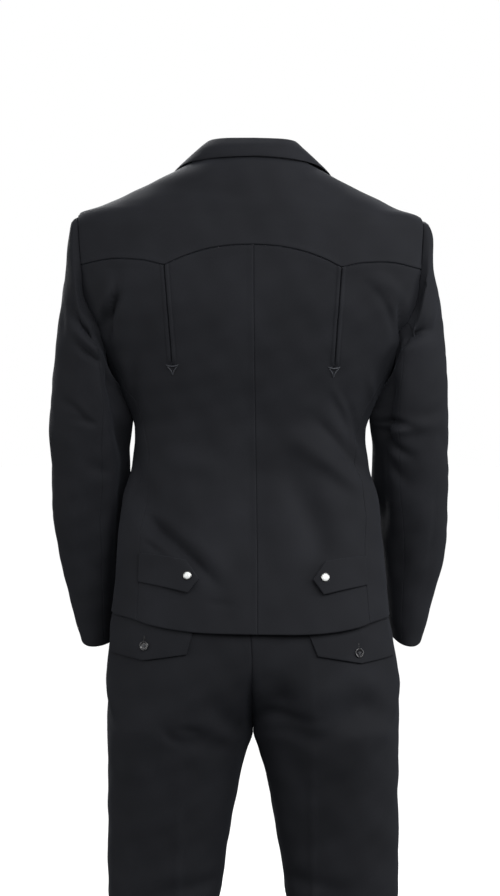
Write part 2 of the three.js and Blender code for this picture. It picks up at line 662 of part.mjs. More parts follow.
// ---------------------------------------------------------------- back pleats and tabs
const PLEAT = { top_x: 117, top_z: -149, foot_x: 108, foot_z: -268, welt: 5.6, slit: 0.8 };
const THIN = 1.2; // wall of a pressed edge or a facing, thinner than a panel
function addPleats() {
  for (const [hand, side] of SIDES) {
    for (const [edge, sign] of [['inner', -1], ['outer', 1]]) {
      const column = off => seam([
        { x: PLEAT.top_x + sign * off, z: PLEAT.top_z },
        { x: PLEAT.foot_x + sign * off, z: PLEAT.foot_z },
      ], 6, false);
      const near = column(PLEAT.slit / 2);
      const far = column(PLEAT.slit / 2 + PLEAT.welt);
      const places = near.map((place, j) => [place, far[j]]);
      const options = { side, lift: () => LAID, thick: THIN, finish: SUITING_TRIM };
      addPiece(`pleat_${edge}_${hand}`, places, options);
    }
  }
}

// Fits a small flat or round part on a surface: its own Z is the way out, its Y is up.
function seat(mesh, surface, at, place, side, off) {
  const normal = normalAt(surface, place);
  const point = worn(surface(place).addScaledVector(normal, off), side, at);
  const out = new THREE.Vector3(normal.x * side, normal.y, normal.z);
  const right = new THREE.Vector3(0, 0, 1).cross(out).normalize();
  const up = out.clone().cross(right);
  mesh.quaternion.setFromRotationMatrix(new THREE.Matrix4().makeBasis(right, up, out));
  mesh.position.copy(point);
}

// Arrowhead tacks: above is the share of their height over their own place, and waist the
// pull of their sides towards the middle.
const ARROW = {
  x: 106.5, z: -281.5, wide: 17, tall: 14, thick: 1.4, hollow: 3.2, above: 0.45, waist: 0.35, gap: 0.55,
};
function addArrowheads() {
  const half = ARROW.wide / 2;
  const top = ARROW.tall * ARROW.above;
  const foot = top - ARROW.tall;
  const pull = half * ARROW.waist;
  const outline = new THREE.Shape();
  outline.moveTo(-half, top);
  outline.quadraticCurveTo(-pull, -0.5, 0, foot);
  outline.quadraticCurveTo(pull, -0.5, half, top);
  outline.quadraticCurveTo(0, top - ARROW.hollow, -half, top);
  const solid = { depth: ARROW.thick, bevelEnabled: false, curveSegments: 4 };
  for (const [hand, side] of SIDES) {
    const mesh = addMesh(`arrowhead_${hand}`, new THREE.ExtrudeGeometry(outline, solid), THREAD);
    const place = [angleAt(torsoAt, ARROW.x, ARROW.z, false), ARROW.z];
    seat(mesh, torso, torsoAt, place, side, ARROW.gap);
  }
}

const TAB_TOP = [
  { x: 150, z: -526 },
  { x: 122, z: -529 },
  { x: 91, z: -534 },
];
const TAB_POINT = { x: 74, z: -558 };
const TAB_FOOT = [
  { x: 151, z: -564.5 },
  { x: 124, z: -569.5 },
  { x: 88.5, z: -577.5 },
];
const SNAP = { left: 88.5, right: 90.5, z: -555, radius: 5.7, tall: 3 };
const ON_LAID = 1.6 * LAID + CLOTH; // lift of a snap or button on a laid piece
function addTabs() {
  const tip = join(seam([TAB_TOP[2], TAB_POINT], 2, false), seam([TAB_POINT, TAB_FOOT[2]], 2, false));
  const base = seam([TAB_TOP[0], TAB_FOOT[0]], 4, false);
  const places = fill(seam(TAB_TOP, 5, false), seam(TAB_FOOT, 5, false), base, tip);
  const profile = [[0, 0], [1, 0], [1, 0.35], [0.82, 0.75], [0.45, 1], [0, 1]].map(
    ([out, up]) => new THREE.Vector2(out * SNAP.radius, up * SNAP.tall),
  );
  for (const [hand, side] of SIDES) {
    addPiece(`tab_${hand}`, places, { side, lift: () => LAID });
    const snap = new THREE.LatheGeometry(profile, 20).rotateX(Math.PI / 2);
    const place = [angleAt(torsoAt, SNAP[hand], SNAP.z, false), SNAP.z];
    seat(addMesh(`tab_snap_${hand}`, snap, PEARL), torso, torsoAt, place, side, ON_LAID);
  }
}

// ---------------------------------------------------------------- buttons
const HOLE_OFF = 1 / 4.4; // place and size of the four holes, as shares of a button's radius
const HOLE = 1 / 8;
function buttonGeometry(radius, thick) {
  const disc = new THREE.Shape();
  disc.absarc(0, 0, radius, 0, 2 * Math.PI);
  const off = radius * HOLE_OFF;
  for (const [x, y] of [[off, off], [-off, off], [-off, -off], [off, -off]]) {
    const hole = new THREE.Path();
    hole.absarc(x, y, radius * HOLE, 0, 2 * Math.PI, true);
    disc.holes.push(hole);
  }
  return new THREE.ExtrudeGeometry(disc, { depth: thick, bevelEnabled: false, curveSegments: 8 });
}
const FRONT_BUTTON = { radius: 10, thick: 3, below_fold: 4, spacing: 115 };
function addFrontButtons() {
  const { radius, thick, below_fold: below, spacing } = FRONT_BUTTON;
  for (const [name, drop] of [['upper', below], ['lower', below + spacing]]) {
    const button = addMesh(`front_button_${name}`, buttonGeometry(radius, thick), HORN);
    seat(button, torso, torsoAt, [Math.PI, BUTTON_Z - drop], 1, LAP + LAID);
  }
}

// ---------------------------------------------------------------- trousers
const legAt = readers(LEG, 'z', ['inner', 'outer', 'back', 'front']);
const CREASE = 2.2; // how far the pressed leg creases stand out
const CREASE_WIDE = 0.09; // half their width, as a share of the leg's
const CREASE_FROM = -700;
const CREASE_BLEND = 120;
const LEG_SQUARE = 2.3; // fullness of the corners of a leg ring
const SPLIT_FROM = -640; // height at which the hip ring starts to part into legs
const SPLIT_LATE = 2.6; // how late it does so

// Left trouser surface. share runs from 0 at the centre seam or inseam to 1 at the outseam;
// the hip ring passes into the leg's own ring on the way down to the crotch.
function trouserPoint(share, z, front) {
  const hip = ringPoint(hipsAt, front ? Math.PI - (share * Math.PI) / 2 : (share * Math.PI) / 2, z);
  const middle = (legAt.inner(z) + legAt.outer(z)) / 2;
  const half = (legAt.outer(z) - legAt.inner(z)) / 2;
  const turn = (share - 0.5) * Math.PI;
  const [sine, cosine] = [Math.sin(turn), Math.max(Math.cos(turn), 0)];
  const hold = hipsAt.mid(z);
  const deep = (front ? legAt.front(z) : legAt.back(z)) - hold;
  const power = 2 / LEG_SQUARE;
  const press = CREASE * Math.exp(-((sine / CREASE_WIDE) ** 2)) * smooth((CREASE_FROM - z) / CREASE_BLEND);
  const crease = front ? -press : press;
  const leg = new THREE.Vector3(
    middle + half * Math.sign(sine) * Math.abs(sine) ** power,
    hold + deep * cosine ** power + crease,
    z,
  );
  const split = clamp01((z - SPLIT_FROM) / (CROTCH - SPLIT_FROM)) ** SPLIT_LATE;
  return hip.lerp(leg, split);
}
const trouserBack = ([share, z]) => trouserPoint(share, z, false);
const trouserFront = ([share, z]) => trouserPoint(clamp01(1 - share), z, true);

const HIP_ROWS = [WAIST - BAND, -545, -580, -612, -640, -668, -695, -720, -742];
const LEG_ROWS = [CROTCH, -790, -830, -890, -980, -1110, -1300, TROUSER_HEM];
const TROUSER_ROWS = [...HIP_ROWS, ...LEG_ROWS];
const SHARES = steps(7);
function addTrousers() {
  const places = TROUSER_ROWS.map(z => SHARES.map(share => [share, z]));
  const band = [WAIST, WAIST - BAND / 2, WAIST - BAND].map(z => steps(12).map(t => [t * 2, z]));
  const bandSurface = ([way, z]) => trouserPoint(way <= 1 ? way : 2 - way, z, way > 1);
  for (const [hand, side] of SIDES) {
    addPiece(`trouser_back_${hand}`, places, { side, surface: trouserBack, at: hipsAt });
    addPiece(`trouser_front_${hand}`, places, { side, surface: trouserFront, at: hipsAt });
    addPiece(`waistband_${hand}`, band, { side, surface: bandSurface, at: hipsAt, finish: SUITING_TRIM });
  }
}

// Fly: its edge curves in at the foot, by the power bend.
const FLY = { wide: 0.3, below_band: 1, foot: -668, bend: 6, curve: 0.92, lift: 1.4 * LAID };
const WAIST_BUTTON = { radius: 7.5, thick: 2.6, share: 0.955 };
function addFly() {
  const places = steps(6).map(t => {
    const z = mix(WAIST - BAND - FLY.below_band, FLY.foot, t);
    const reach = FLY.wide * Math.sqrt(1 - (FLY.curve * t) ** FLY.bend);
    return steps(3).map(s => [1 - reach * s, z]);
  });
  const options = { surface: trouserFront, at: hipsAt, lift: () => FLY.lift, thick: THIN };
  addPiece('fly_flap', places, { ...options, finish: SUITING_TRIM });
  const { radius, thick, share } = WAIST_BUTTON;
  const button = addMesh('waist_button', buttonGeometry(radius, thick), HORN);
  seat(button, trouserFront, hipsAt, [share, WAIST - BAND / 2], 1, LAID);
}

// Pointed back pocket flaps, buttoned: the shares are places round the hip. The inner edge
// slants outwards by slant on its way down.
const FLAP = { from: 0.392, slant: 0.065, to: 0.89, top: -612, foot: -658.5, point: -668, bend: 1.1 };
const FLAP_BUTTON = { share: 0.67, left: -648.5, right: -654, radius: 6.5, thick: 2.4 };
function addPocketFlaps() {
  const rim = t => mix(FLAP.foot, FLAP.point, (1 - Math.abs(2 * t - 1)) ** FLAP.bend);
  const places = steps(4).map(down => {
    const from = FLAP.from + FLAP.slant * down;
    return steps(8).map(t => [mix(from, FLAP.to, t), mix(FLAP.top, rim(t), down)]);
  });
  for (const [hand, side] of SIDES) {
    const options = { side, surface: trouserBack, at: hipsAt, lift: () => LAID };
    addPiece(`pocket_flap_${hand}`, places, options);
    const { radius, thick, share } = FLAP_BUTTON;
    const button = addMesh(`pocket_button_${hand}`, buttonGeometry(radius, thick), HORN);
    seat(button, trouserBack, hipsAt, [share, FLAP_BUTTON[hand]], side, ON_LAID);
  }
}

addYoke();
addBody();
addLapels();
addCollar();
addSleeves();
addPleats();
addArrowheads();
addTabs();
addFrontButtons();
addTrousers();
addFly();
addPocketFlaps();

export default suit;
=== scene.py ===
"""Western suit as worn: a short jacket with a scalloped back yoke, arrow-ended pleats and snap
tabs, over straight trousers with pointed back pocket flaps, in dark worsted twill.

Tables are in millimetres in the suit's own frame: +Z up, the wearer faces -Y, the wearer's left
is +X, and the origin is at the base of the neck. Meshes are written in metres.
"""

from functools import cache

import bmesh
import bpy
import numpy as np
from bpy.props import FloatProperty, FloatVectorProperty, PointerProperty
from mathutils import Matrix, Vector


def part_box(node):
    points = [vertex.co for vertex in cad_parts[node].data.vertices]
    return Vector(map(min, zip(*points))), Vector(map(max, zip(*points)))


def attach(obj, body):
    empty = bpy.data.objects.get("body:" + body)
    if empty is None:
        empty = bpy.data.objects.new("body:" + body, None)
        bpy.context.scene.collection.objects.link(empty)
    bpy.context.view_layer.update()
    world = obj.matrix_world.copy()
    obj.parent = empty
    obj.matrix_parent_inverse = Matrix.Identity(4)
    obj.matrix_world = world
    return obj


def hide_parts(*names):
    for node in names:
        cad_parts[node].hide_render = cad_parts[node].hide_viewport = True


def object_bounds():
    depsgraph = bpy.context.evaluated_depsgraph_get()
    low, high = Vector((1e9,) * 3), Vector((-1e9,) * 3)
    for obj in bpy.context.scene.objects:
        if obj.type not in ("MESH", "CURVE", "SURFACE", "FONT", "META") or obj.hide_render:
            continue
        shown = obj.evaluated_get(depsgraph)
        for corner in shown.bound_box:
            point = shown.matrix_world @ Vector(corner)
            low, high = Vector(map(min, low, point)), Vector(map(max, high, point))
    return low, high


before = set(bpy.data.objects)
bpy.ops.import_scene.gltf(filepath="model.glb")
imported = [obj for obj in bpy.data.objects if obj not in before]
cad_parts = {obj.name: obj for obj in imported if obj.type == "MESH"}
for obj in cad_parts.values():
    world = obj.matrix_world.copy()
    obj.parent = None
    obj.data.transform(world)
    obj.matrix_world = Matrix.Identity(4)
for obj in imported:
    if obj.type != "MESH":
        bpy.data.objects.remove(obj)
CAD_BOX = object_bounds()

bl_info = {
    "name": "Western Suit",
    "version": (1, 0, 0),
    "blender": (4, 5, 0),
    "location": "3D View > Sidebar > Western Suit",
    "description": "Builds a Western suit as worn, panel by panel, on its packed solids",
    "category": "Mesh",
}

MM = 0.001
FINE = 4001  # samples along a length that is shared out
CLOTH = 1.6  # wall of a panel
SEAM = 0.5  # gap between two pieces that are sewn together
LAID = 0.9  # gap under a piece that lies on a panel
ALLOWANCE, RIDGE = 11, 0.35  # width and rise of the pressed allowance beside a seam
NECK = 8  # height of the back neck seam
SHOULDER_END = -74
LEAN = 0.014  # the left shoulder stands higher than the right
TURN = 4  # the jacket's outline sits this far to the left of its centre seam
DRIFT = 5  # how far the centre seam wanders to the right on its way to the hem
DRIFT_TOP, DRIFT_LENGTH = -140, 460
TROUSER_SHIFT, SHIFT_FROM, SHIFT_LENGTH = 0.5, -700, 90  # the trousers' own, and where it ends
BUTTON_Z = -332
LAP = 2.6  # lift of the left front over the right one
WAIST = -474
BAND = 38
CROTCH = -763
TROUSER_HEM = -1525
VIEW = (4.7, 4500.0, -385.0)  # the place from which the back is seen, and creases are placed


def table(names, *rows):
    """Rows of numbers as one array for each named column."""
    return dict(zip(names.split(), np.array(rows, float).T))


# Jacket rings. wide is the half width, back and front the Y of the centre back and centre
# front, mid the Y where the ring is widest, and square the fullness of its corners.
TORSO = table(
    "z wide back front mid square",
    (8, 67, 55, -40, 4, 2.0),
    (0, 78, 66, -49, 4, 2.0),
    (-12, 99, 78, -57, 4, 2.0),
    (-28, 130, 87, -66, 4, 2.05),
    (-45, 164, 94, -76, 4, 2.1),
    (-61, 200, 100, -85, 3, 2.2),
    (-74, 231, 103, -92, 3, 2.3),
    (-90, 239, 107, -99, 2, 2.45),
    (-139, 240, 113, -117, 1, 2.6),
    (-190, 233, 114, -129, 0, 2.6),
    (-240, 212, 109, -133, 2, 2.5),
    (-285, 188, 101, -131, 5, 2.4),
    (-320, 170.5, 93, -127, 9, 2.35),
    (-360, 155, 86, -123, 14, 2.3),
    (-412, 160, 84, -120, 18, 2.3),
    (-455, 172, 91, -120, 20, 2.35),
    (-510, 178, 104, -122, 21, 2.4),
    (-565, 182, 117, -124, 21, 2.4),
    (-606, 187.5, 125, -126, 20, 2.4),
    (-645, 191, 131, -127, 19, 2.4),
)
ARMHOLE_BACK = ((231, -74), (230.5, -105), (227, -144), (222, -185), (206, -222), (193, -262))
ARMHOLE_FRONT = ((181, -266), (184, -225), (194, -170), (210, -120), (231, -74))
UNDERARM = -291
YOKE_SIDE = ((227, -144), (178, -137), (146, -139), (117, -145.5))
YOKE_CENTRE = ((117, -145.5), (90, -133), (60, -123.5), (28, -118.5), (0, -117))
SIDE_BACK = (
    (193, -262),
    (168, -305),
    (147, -345),
    (140, -385),
    (146, -435),
    (151, -480),
    (149, -530),
    (155, -616),
)
SIDE_FRONT = ((181, -266), (158, -320), (143, -380), (150, -450), (158, -530), (162, -610))
HEM = table(
    "turn z",
    (0, -630),
    (22, -630),
    (36, -629),
    (48, -626),
    (59, -620.5),
    (69, -612.5),
    (90, -606),
    (130, -612),
    (190, -622),
)
NECK_FRONT = ((67, 8), (73, -12), (71, -38))
FRONT_LAP = 14
NOTCH = ((71, -39.4), (96, -48.5), (116, -68))
LAPEL_EDGE = ((116, -68), (112, -130), (90, -205), (48, -275), (-6, -326))
LAPEL_SHARE = {1: (1.0, 1.0), -1: (0.8, 0.87)}  # length and width of the left and right lapel

# Collar: the fold along the top and the outer edge of the fall, by turn round the neck.
COLLAR = table(
    "turn x y z edge_turn edge_z",
    (0, 0, 44, 28, 0, 1),
    (35, 35, 37, 28, 34, -0.5),
    (65, 57, 19, 26.5, 62, -3.5),
    (90, 63.5, -5, 21.5, 84, -8),
    (115, 65.5, -33, 7, 104, -22),
    (140, 72, -64, -34, 121, -50),
)
STAND_TURN = 112

# Sleeve rings, from the armhole to the cuff: outer and inner edge for the left and the right
# arm, middle and half depth, and the lean in degrees by which its back hangs lower.
SLEEVE = table(
    "ring out_l out_r out_z in_l in_r in_z y deep lean",
    (0, 232, 230, -75, 188.5, 186.5, -292, 0, 64, 0),
    (1, 241, 239, -81, 190, 187, -297, 0, 68, 0),
    (2, 248, 243, -98, 187, 183.4, -303, -1, 72, 0),
    (3, 253, 243, -137, 182, 178.2, -310, -3, 76, 0),
    (4, 260, 253, -185, 177, 172.3, -320, -6, 77, 0),
    (5, 268, 260, -243, 170, 164.2, -337, -10, 75, 1),
    (6, 274, 263.5, -303, 165.5, 159.5, -360, -15, 72, 2),
    (7, 278, 265.5, -362, 166.5, 160.5, -388, -22, 69, 4),
    (8, 275, 266, -420, 167, 161, -424, -33, 66, 6),
    (9, 274, 265, -477, 173, 169, -468, -44, 63, 9),
    (10, 266, 262, -525, 175, 173.5, -514, -54, 60, 11),
    (11, 256, 250, -570, 179, 178, -560, -62, 58, 12),
    (12, 246, 240, -610, 182, 181.4, -601, -69, 56, 13),
    (13, 236, 230, -645, 185, 187.5, -637, -75, 54, 14),
)
SLEEVE_SQUARE = 2.15
EASE_OUT = 3.2  # rings over which the armhole's own outline fades into the sleeve's
EASE_BEHIND = 2.4  # rings more behind the shoulder blade, where the sleeve starts flat
PLACES = 20  # places round the armhole, by which the seams of the sleeve are set
BLADE_PLACE = 3.2  # behind the shoulder blade
HIND_SEAM = 5
FORE_SEAM = 12
UNDER_PLACE = 10
ROPED = 0.8  # rise of the sleeve head beside its seam
# Under the arm the sleeve fills out: how far, at which place and height, and its reach above
# and below that.
FULL, FULL_PLACE, FULL_Z, FULL_ABOVE, FULL_BELOW = 9.8, 8.3, -338, 50, 20

# Trouser rings, and the leg's: inner and outer edge, and the Y of its back and front.
HIPS = table(
    "z wide back front mid square",
    (-474, 157, 72, -98, 6, 2.3),
    (-512, 165, 84, -103, 8, 2.3),
    (-560, 176, 101, -105, 12, 2.35),
    (-606, 185.2, 114, -103, 15, 2.35),
    (-640, 190, 120, -99, 15, 2.35),
    (-700, 196, 121, -91, 12, 2.35),
    (-763, 196, 113, -85, 8, 2.35),
)
LEG = table(
    "z inner outer back front",
    (-640, 0, 190, 118, -97),
    (-700, 0, 196, 116, -90),
    (-763, 0.1, 196, 106, -84),
    (-790, 9, 195.5, 99, -81),
    (-846, 22, 195, 88, -77),
    (-960, 41, 195, 74, -73),
    (-1110, 57, 196, 66, -70),
    (-1290, 66, 198, 66, -66),
    (-1525, 70, 202, 66, -68),
)
LEG_SQUARE = 2.3
SPLIT_FROM = -640
SPLIT_LATE = 2.6
# The crotch seam's turn on the body: how far, its reach on either side of the middle, the
# height and length over which it starts and ends, and the depth it turns about.
SEAM_TURN, SEAM_REACH, SEAM_TURN_Y = 1.6, 30, 8
SEAM_TURN_TOP, SEAM_TURN_FOOT = (-655, 45), (-800, 30)

# The largest folds of the back, which the solids have too: a ridge from one place to another,
# its half width and its rise, negative for a trough.
BIG_FOLDS = (
    (186, -160, 196, -215, 12, 5),
    (-160, -162, -194, -205, 13, 5),
    (-112, -315, -142, -385, 13, -4.5),
    (-52, -362, -130, -425, 17, 4),
    (148, -462, 50, -555, 20, 3.5),
    (130, -395, 40, -418, 16, 3),
    (112, -765, 34, -790, 15, -3),
    (-50, -757, -104, -782, 15, -3),
)

# Creases, by the side from which they are seen: two places across and up, how far the line
# between them bows, its half width at both ends, its rise, and how sharp it is from 0 to 1.
# The first place is where the cloth is caught, so the crease is deepest near it.
JACKET_CREASES = {
    "back": (
        (203, -222, 184, -150, -4, 4.5, 7, -11, 0.6),
        (196, -240, 187, -182, 2, 4, 6, -8, 0.5),
        (206, -200, 176, -160, 3, 6, 9, 4, 0.0),
        (-203, -242, -200, -178, 1, 4.5, 5, -9, 0.6),
        (-193, -236, -150, -158, -9, 6, 9, -4.5, 0.4),
        (-203, -190, -165, -150, -4, 7, 9, 3, 0.0),
        (158, -335, 160, -262, 2, 6, 8, -2.5, 0.2),
        (171, -318, 174, -262, 0, 6, 8, 2, 0.0),
        (-160, -318, -158, -280, 0, 4, 6, 2.5, 0.1),
        (-146, -384, -122, -324, 2, 6, 8, -5, 0.4),
        (-138, -382, -108, -306, -4, 4.5, 6, 4.4, 0.2),
        (-152, -420, -80, -344, -2, 7, 9, -5.5, 0.2),
        (-148, -444, -52, -374, -3, 9, 12, 3.4, 0.0),
        (174, -384, 168, -500, 0, 40, 42, -10, 0.0),
        (-92, -530, -40, -410, -8, 18, 22, -7.5, 0.0),
        (150, -478, 50, -568, 3, 9, 11, -13, 0.4),
        (168, -424, 100, -520, 0, 22, 26, -9, 0.0),
        (154, -478, 84, -540, 2, 10, 12, 1.2, 0.0),
        (112, -452, 128, -360, 0, 18, 22, -2.6, 0.0),
        (147, -512, 120, -530, 0, 4, 4, -4, 0.5),
        (62, -594, 24, -597, 0, 5, 5, -1.2, 0.3),
        (100, -36, 8, -40, 0, 9, 9, -1.4, 0.0),
        (0, -300, 0, -560, 0, 26, 20, -2.2, 0.0),
    ),
    "front": (
        (-168, -240, -128, -160, 8, 8, 16, -5, 0.2),
        (168, -240, 128, -160, -8, 8, 16, -5, 0.2),
        (-150, -300, -96, -236, 6, 8, 14, -3, 0.2),
        (152, -296, 98, -230, -6, 8, 14, -3, 0.2),
        (-6, -336, -104, -366, 8, 7, 16, -2.6, 0.2),
        (6, -338, 102, -380, -8, 7, 16, -2.6, 0.2),
        (-8, -342, -78, -420, 6, 8, 18, -2.2, 0.1),
        (8, -344, 84, -436, -5, 8, 18, -2.2, 0.1),
    ),
}
SLEEVE_CREASES = {
    "back": (
        (211, -240, 252, -192, 3, 4.5, 7, -12, 0.6),
        (214, -252, 240, -222, 2, 5, 7, 3, 0.0),
        (207, -268, 244, -238, 3, 4, 6, -7.5, 0.6),
        (224, -349, 258, -321, -2, 4, 6, -4.4, 0.4),
        (214, -352, 250, -340, 2, 4, 6, -3.2, 0.3),
        (243, -474, 243, -446, 0, 4, 5, -1.6, 0.2),
        (192, -276, 168, -410, 0, 12, 13, -14, 0.1),
        (168, -400, 179, -600, 0, 12, 13, -10, 0.1),
        (196, -420, 236, -398, 2, 7, 12, -2.2, 0.2),
        (200, -560, 232, -520, 3, 8, 12, -2.0, 0.1),
        (-199, -248, -244, -229, 9, 3.6, 4.5, -12, 0.8),
        (-203, -238, -252, -224, 5, 10, 13, -7, 0.2),
        (-168, -350, -216, -357, 2, 5, 5, -9.5, 0.6),
        (-180, -366, -250, -354, 4, 6, 10, 4, 0.0),
        (-166, -360, -216, -398, -4, 6, 7, -7.5, 0.5),
        (-174, -388, -208, -434, -3, 6, 9, -5, 0.4),
        (-184, -292, -166, -410, 0, 12, 13, -14, 0.1),
        (-166, -400, -172, -500, 0, 12, 13, -8, 0.1),
        (-228, -346, -262, -332, 2, 7, 9, -1.6, 0.1),
        (-246, -430, -234, -560, 3, 3, 4, -1.5, 0.5),
        (-196, -560, -214, -470, 2, 9, 14, -2.2, 0.1),
    ),
    "front": (
        (202, -404, 252, -376, 5, 6, 12, -5, 0.4),
        (198, -426, 246, -430, -4, 6, 12, -4.2, 0.3),
        (204, -380, 244, -340, 4, 7, 12, -3.4, 0.2),
        (-200, -402, -248, -378, -5, 6, 12, -5, 0.4),
        (-196, -424, -244, -434, 4, 6, 12, -4.2, 0.3),
        (-202, -378, -238, -342, -4, 7, 12, -3.4, 0.2),
        (204, -262, 236, -200, 4, 7, 12, -4, 0.3),
        (-200, -258, -230, -198, -4, 7, 12, -4, 0.3),
    ),
    "left": (
        (44, -232, 12, -176, 4, 7, 14, -2.4, 0.2),
        (-80, -404, -30, -384, 5, 8, 16, -1.8, 0.2),
        (30, -372, -24, -400, -4, 8, 16, -1.2, 0.1),
        (-90, -470, -52, -436, 4, 8, 14, -1.6, 0.1),
    ),
    "right": (
        (46, -228, 10, -180, 4, 7, 14, -3, 0.2),
        (-80, -400, -26, -386, 5, 8, 16, -2.2, 0.2),
        (34, -362, -22, -398, -4, 8, 16, -1.9, 0.2),
        (-92, -476, -50, -440, 4, 8, 14, -2.2, 0.1),
    ),
}
TROUSER_CREASES = {
    "back": (
        (102, -784, 121, -762, 2, 5, 7, -3.4, 0.3),
        (74, -768, 104, -766, 0, 4, 5, -2.4, 0.3),
        (36, -786, 96, -780, -4, 10, 14, -2.8, 0.1),
        (20, -766, 60, -722, 6, 12, 18, -2.8, 0.1),
        (-14, -742, -94, -756, -5, 7, 9, -5.5, 0.3),
        (-22, -762, -112, -776, -4, 9, 12, -3.4, 0.2),
        (-10, -752, -48, -706, -5, 12, 18, -3.6, 0.1),
        (3, -768, 3, -690, 0, 7, 5, -5, 0.3),
        (-78, -740, -86, -1500, 0, 5, 5, 3, 0.6),
        (-42, -706, -54, -880, 0, 20, 24, -9, 0.0),
        (-168, -728, -96, -764, 0, 22, 24, -10, 0.0),
        (102, -775, 106, -1500, 0, 5, 5, 2.4, 0.7),
        (-40, -960, -150, -985, -6, 9, 16, -4, 0.2),
        (-60, -1010, -140, -1000, 4, 8, 14, -3, 0.2),
        (48, -965, 150, -990, 6, 9, 16, -4, 0.2),
        (70, -1020, 150, -1004, -4, 8, 14, -3, 0.2),
        (-150, -1440, -78, -1462, 6, 12, 18, -3.6, 0.1),
        (150, -1446, 84, -1470, -6, 12, 18, -3.6, 0.1),
        (-112, -1492, -180, -1480, 3, 10, 14, -2.6, 0.1),
        (118, -1498, 184, -1484, -3, 10, 14, -2.6, 0.1),
    ),
    "front": (
        (8, -700, 90, -640, -8, 7, 16, -4.5, 0.2),
        (-8, -702, -86, -642, 8, 7, 16, -4.5, 0.2),
        (12, -722, 110, -706, -5, 8, 16, -4, 0.2),
        (-12, -724, -106, -712, 5, 8, 16, -4, 0.2),
        (16, -756, 120, -780, 6, 9, 18, -3.4, 0.1),
        (-16, -758, -116, -786, -6, 9, 18, -3.4, 0.1),
        (118, -775, 132, -1500, 0, 5, 5, 2.2, 0.7),
        (-114, -775, -128, -1500, 0, 5, 5, 2.2, 0.7),
        (80, -1040, 168, -1020, 5, 10, 18, -2.6, 0.1),
        (-78, -1044, -164, -1026, -5, 10, 18, -2.6, 0.1),
        (96, -1462, 176, -1440, -6, 12, 18, -4.4, 0.2),
        (-92, -1466, -172, -1446, 6, 12, 18, -4.4, 0.2),
        (110, -1496, 186, -1488, 3, 10, 14, -2.6, 0.1),
        (-108, -1498, -182, -1490, -3, 10, 14, -2.6, 0.1),
    ),
    "left": (
        (60, -738, 20, -690, 4, 9, 16, 2.6, 0.1),
        (40, -1010, -30, -996, 4, 10, 16, -2.6, 0.1),
        (-30, -1462, 40, -1450, 4, 12, 18, -3, 0.1),
    ),
    "right": (
        (60, -742, 16, -688, 4, 9, 16, 2.6, 0.1),
        (40, -1006, -30, -1000, 4, 10, 16, -2.6, 0.1),
        (-30, -1470, 40, -1452, 4, 12, 18, -3, 0.1),
    ),
}

PLEAT_TOP = (117, -146)
PLEAT_FOOT = (107.5, -274)
PLEAT_SLIT, PLEAT_LIP, PLEAT_FOLD = 0.35, 1.3, 5.0  # half its slit, its rolled lip, its fold
PLEAT_DEEP, PLEAT_STEP, PLEAT_GROOVE = 4.6, 1.2, 0.5  # its roll's depth, its edge and the line by it
DRAWN_IN, HOLE = 0.9, 2.6  # depths of the cloth under the arrowhead and in its middle
ARROW = (106.5, -281.5)
SIDES = (("left", 1), ("right", -1))
FLOOR_GAP = 0.0015
FLOOR_RINGS, FLOOR_SIDES = (0.001, 1, 3, 8, 20, 60, 200), 96  # radii in metres
AIM = (0, 0, -0.4)  # where the soft lights point, in metres
TAB_TOP = ((150, -526), (122, -529), (91, -534))
TAB_POINT = (74, -558)
TAB_FOOT = ((151, -564.5), (124, -569.5), (88.5, -577.5))
TAB_LIFT, TAB_STAND = 1.9, 2.8  # a tab's lift off the cloth, and what its point adds to that
FLAP_LIFT, FLAP_STAND = 1.7, 0.8  # the same of a pocket flap and its foot
DOUBLED = 1.5  # wall of a tab or flap
SNAP = {"left": 88.5, "right": 90.5, "z": -555}
FLY = {"wide": 0.3, "foot": -668, "bend": 6, "curve": 0.92, "lift": 1.26}
FLAP = {
    "from": 0.392,
    "slant": 0.065,
    "to": 0.89,
    "top": -612,
    "foot": -658.5,
    "point": -668,
    "bend": 1.1,
}
FLAP_BUTTON = {"share": 0.67, "left": -648.5, "right": -654}

# Slow waves of worn cloth: the way each runs, and where it starts in radians.
WAVES = table(
    "x y z start",
    (1.0, 0.3, 0.7, 0.4),
    (-0.6, 0.5, 1.1, 1.9),
    (1.7, -0.4, 0.5, 3.1),
    (0.3, 1.3, -1.6, 5.2),
    (-2.1, 0.8, 1.2, 0.9),
    (1.2, 1.9, 2.3, 2.6),
)


def settings():
    """The cloth's settings."""
    return bpy.context.scene.western_suit


# ---------- numbers
def mix(a, b, t):
    """From a to b by the share t."""
    return a + (b - a) * t


def smooth(t):
    """A soft step from 0 to 1: 3t^2 - 2t^3 between its ends."""
    t = np.clip(t, 0, 1)
    return t * t * (3 - 2 * t)


def bell(t):
    """A bell curve, 1 at its middle."""
    return np.exp(-(t**2))


def squared(value, power):
    """A sine or cosine to a power, its sign kept, which fills out the corners of a ring."""
    return np.sign(value) * np.abs(value) ** power


def unit(vectors):
    """Vectors divided by their lengths."""
    return vectors / np.maximum(np.linalg.norm(vectors, axis=-1, keepdims=True), 1e-9)


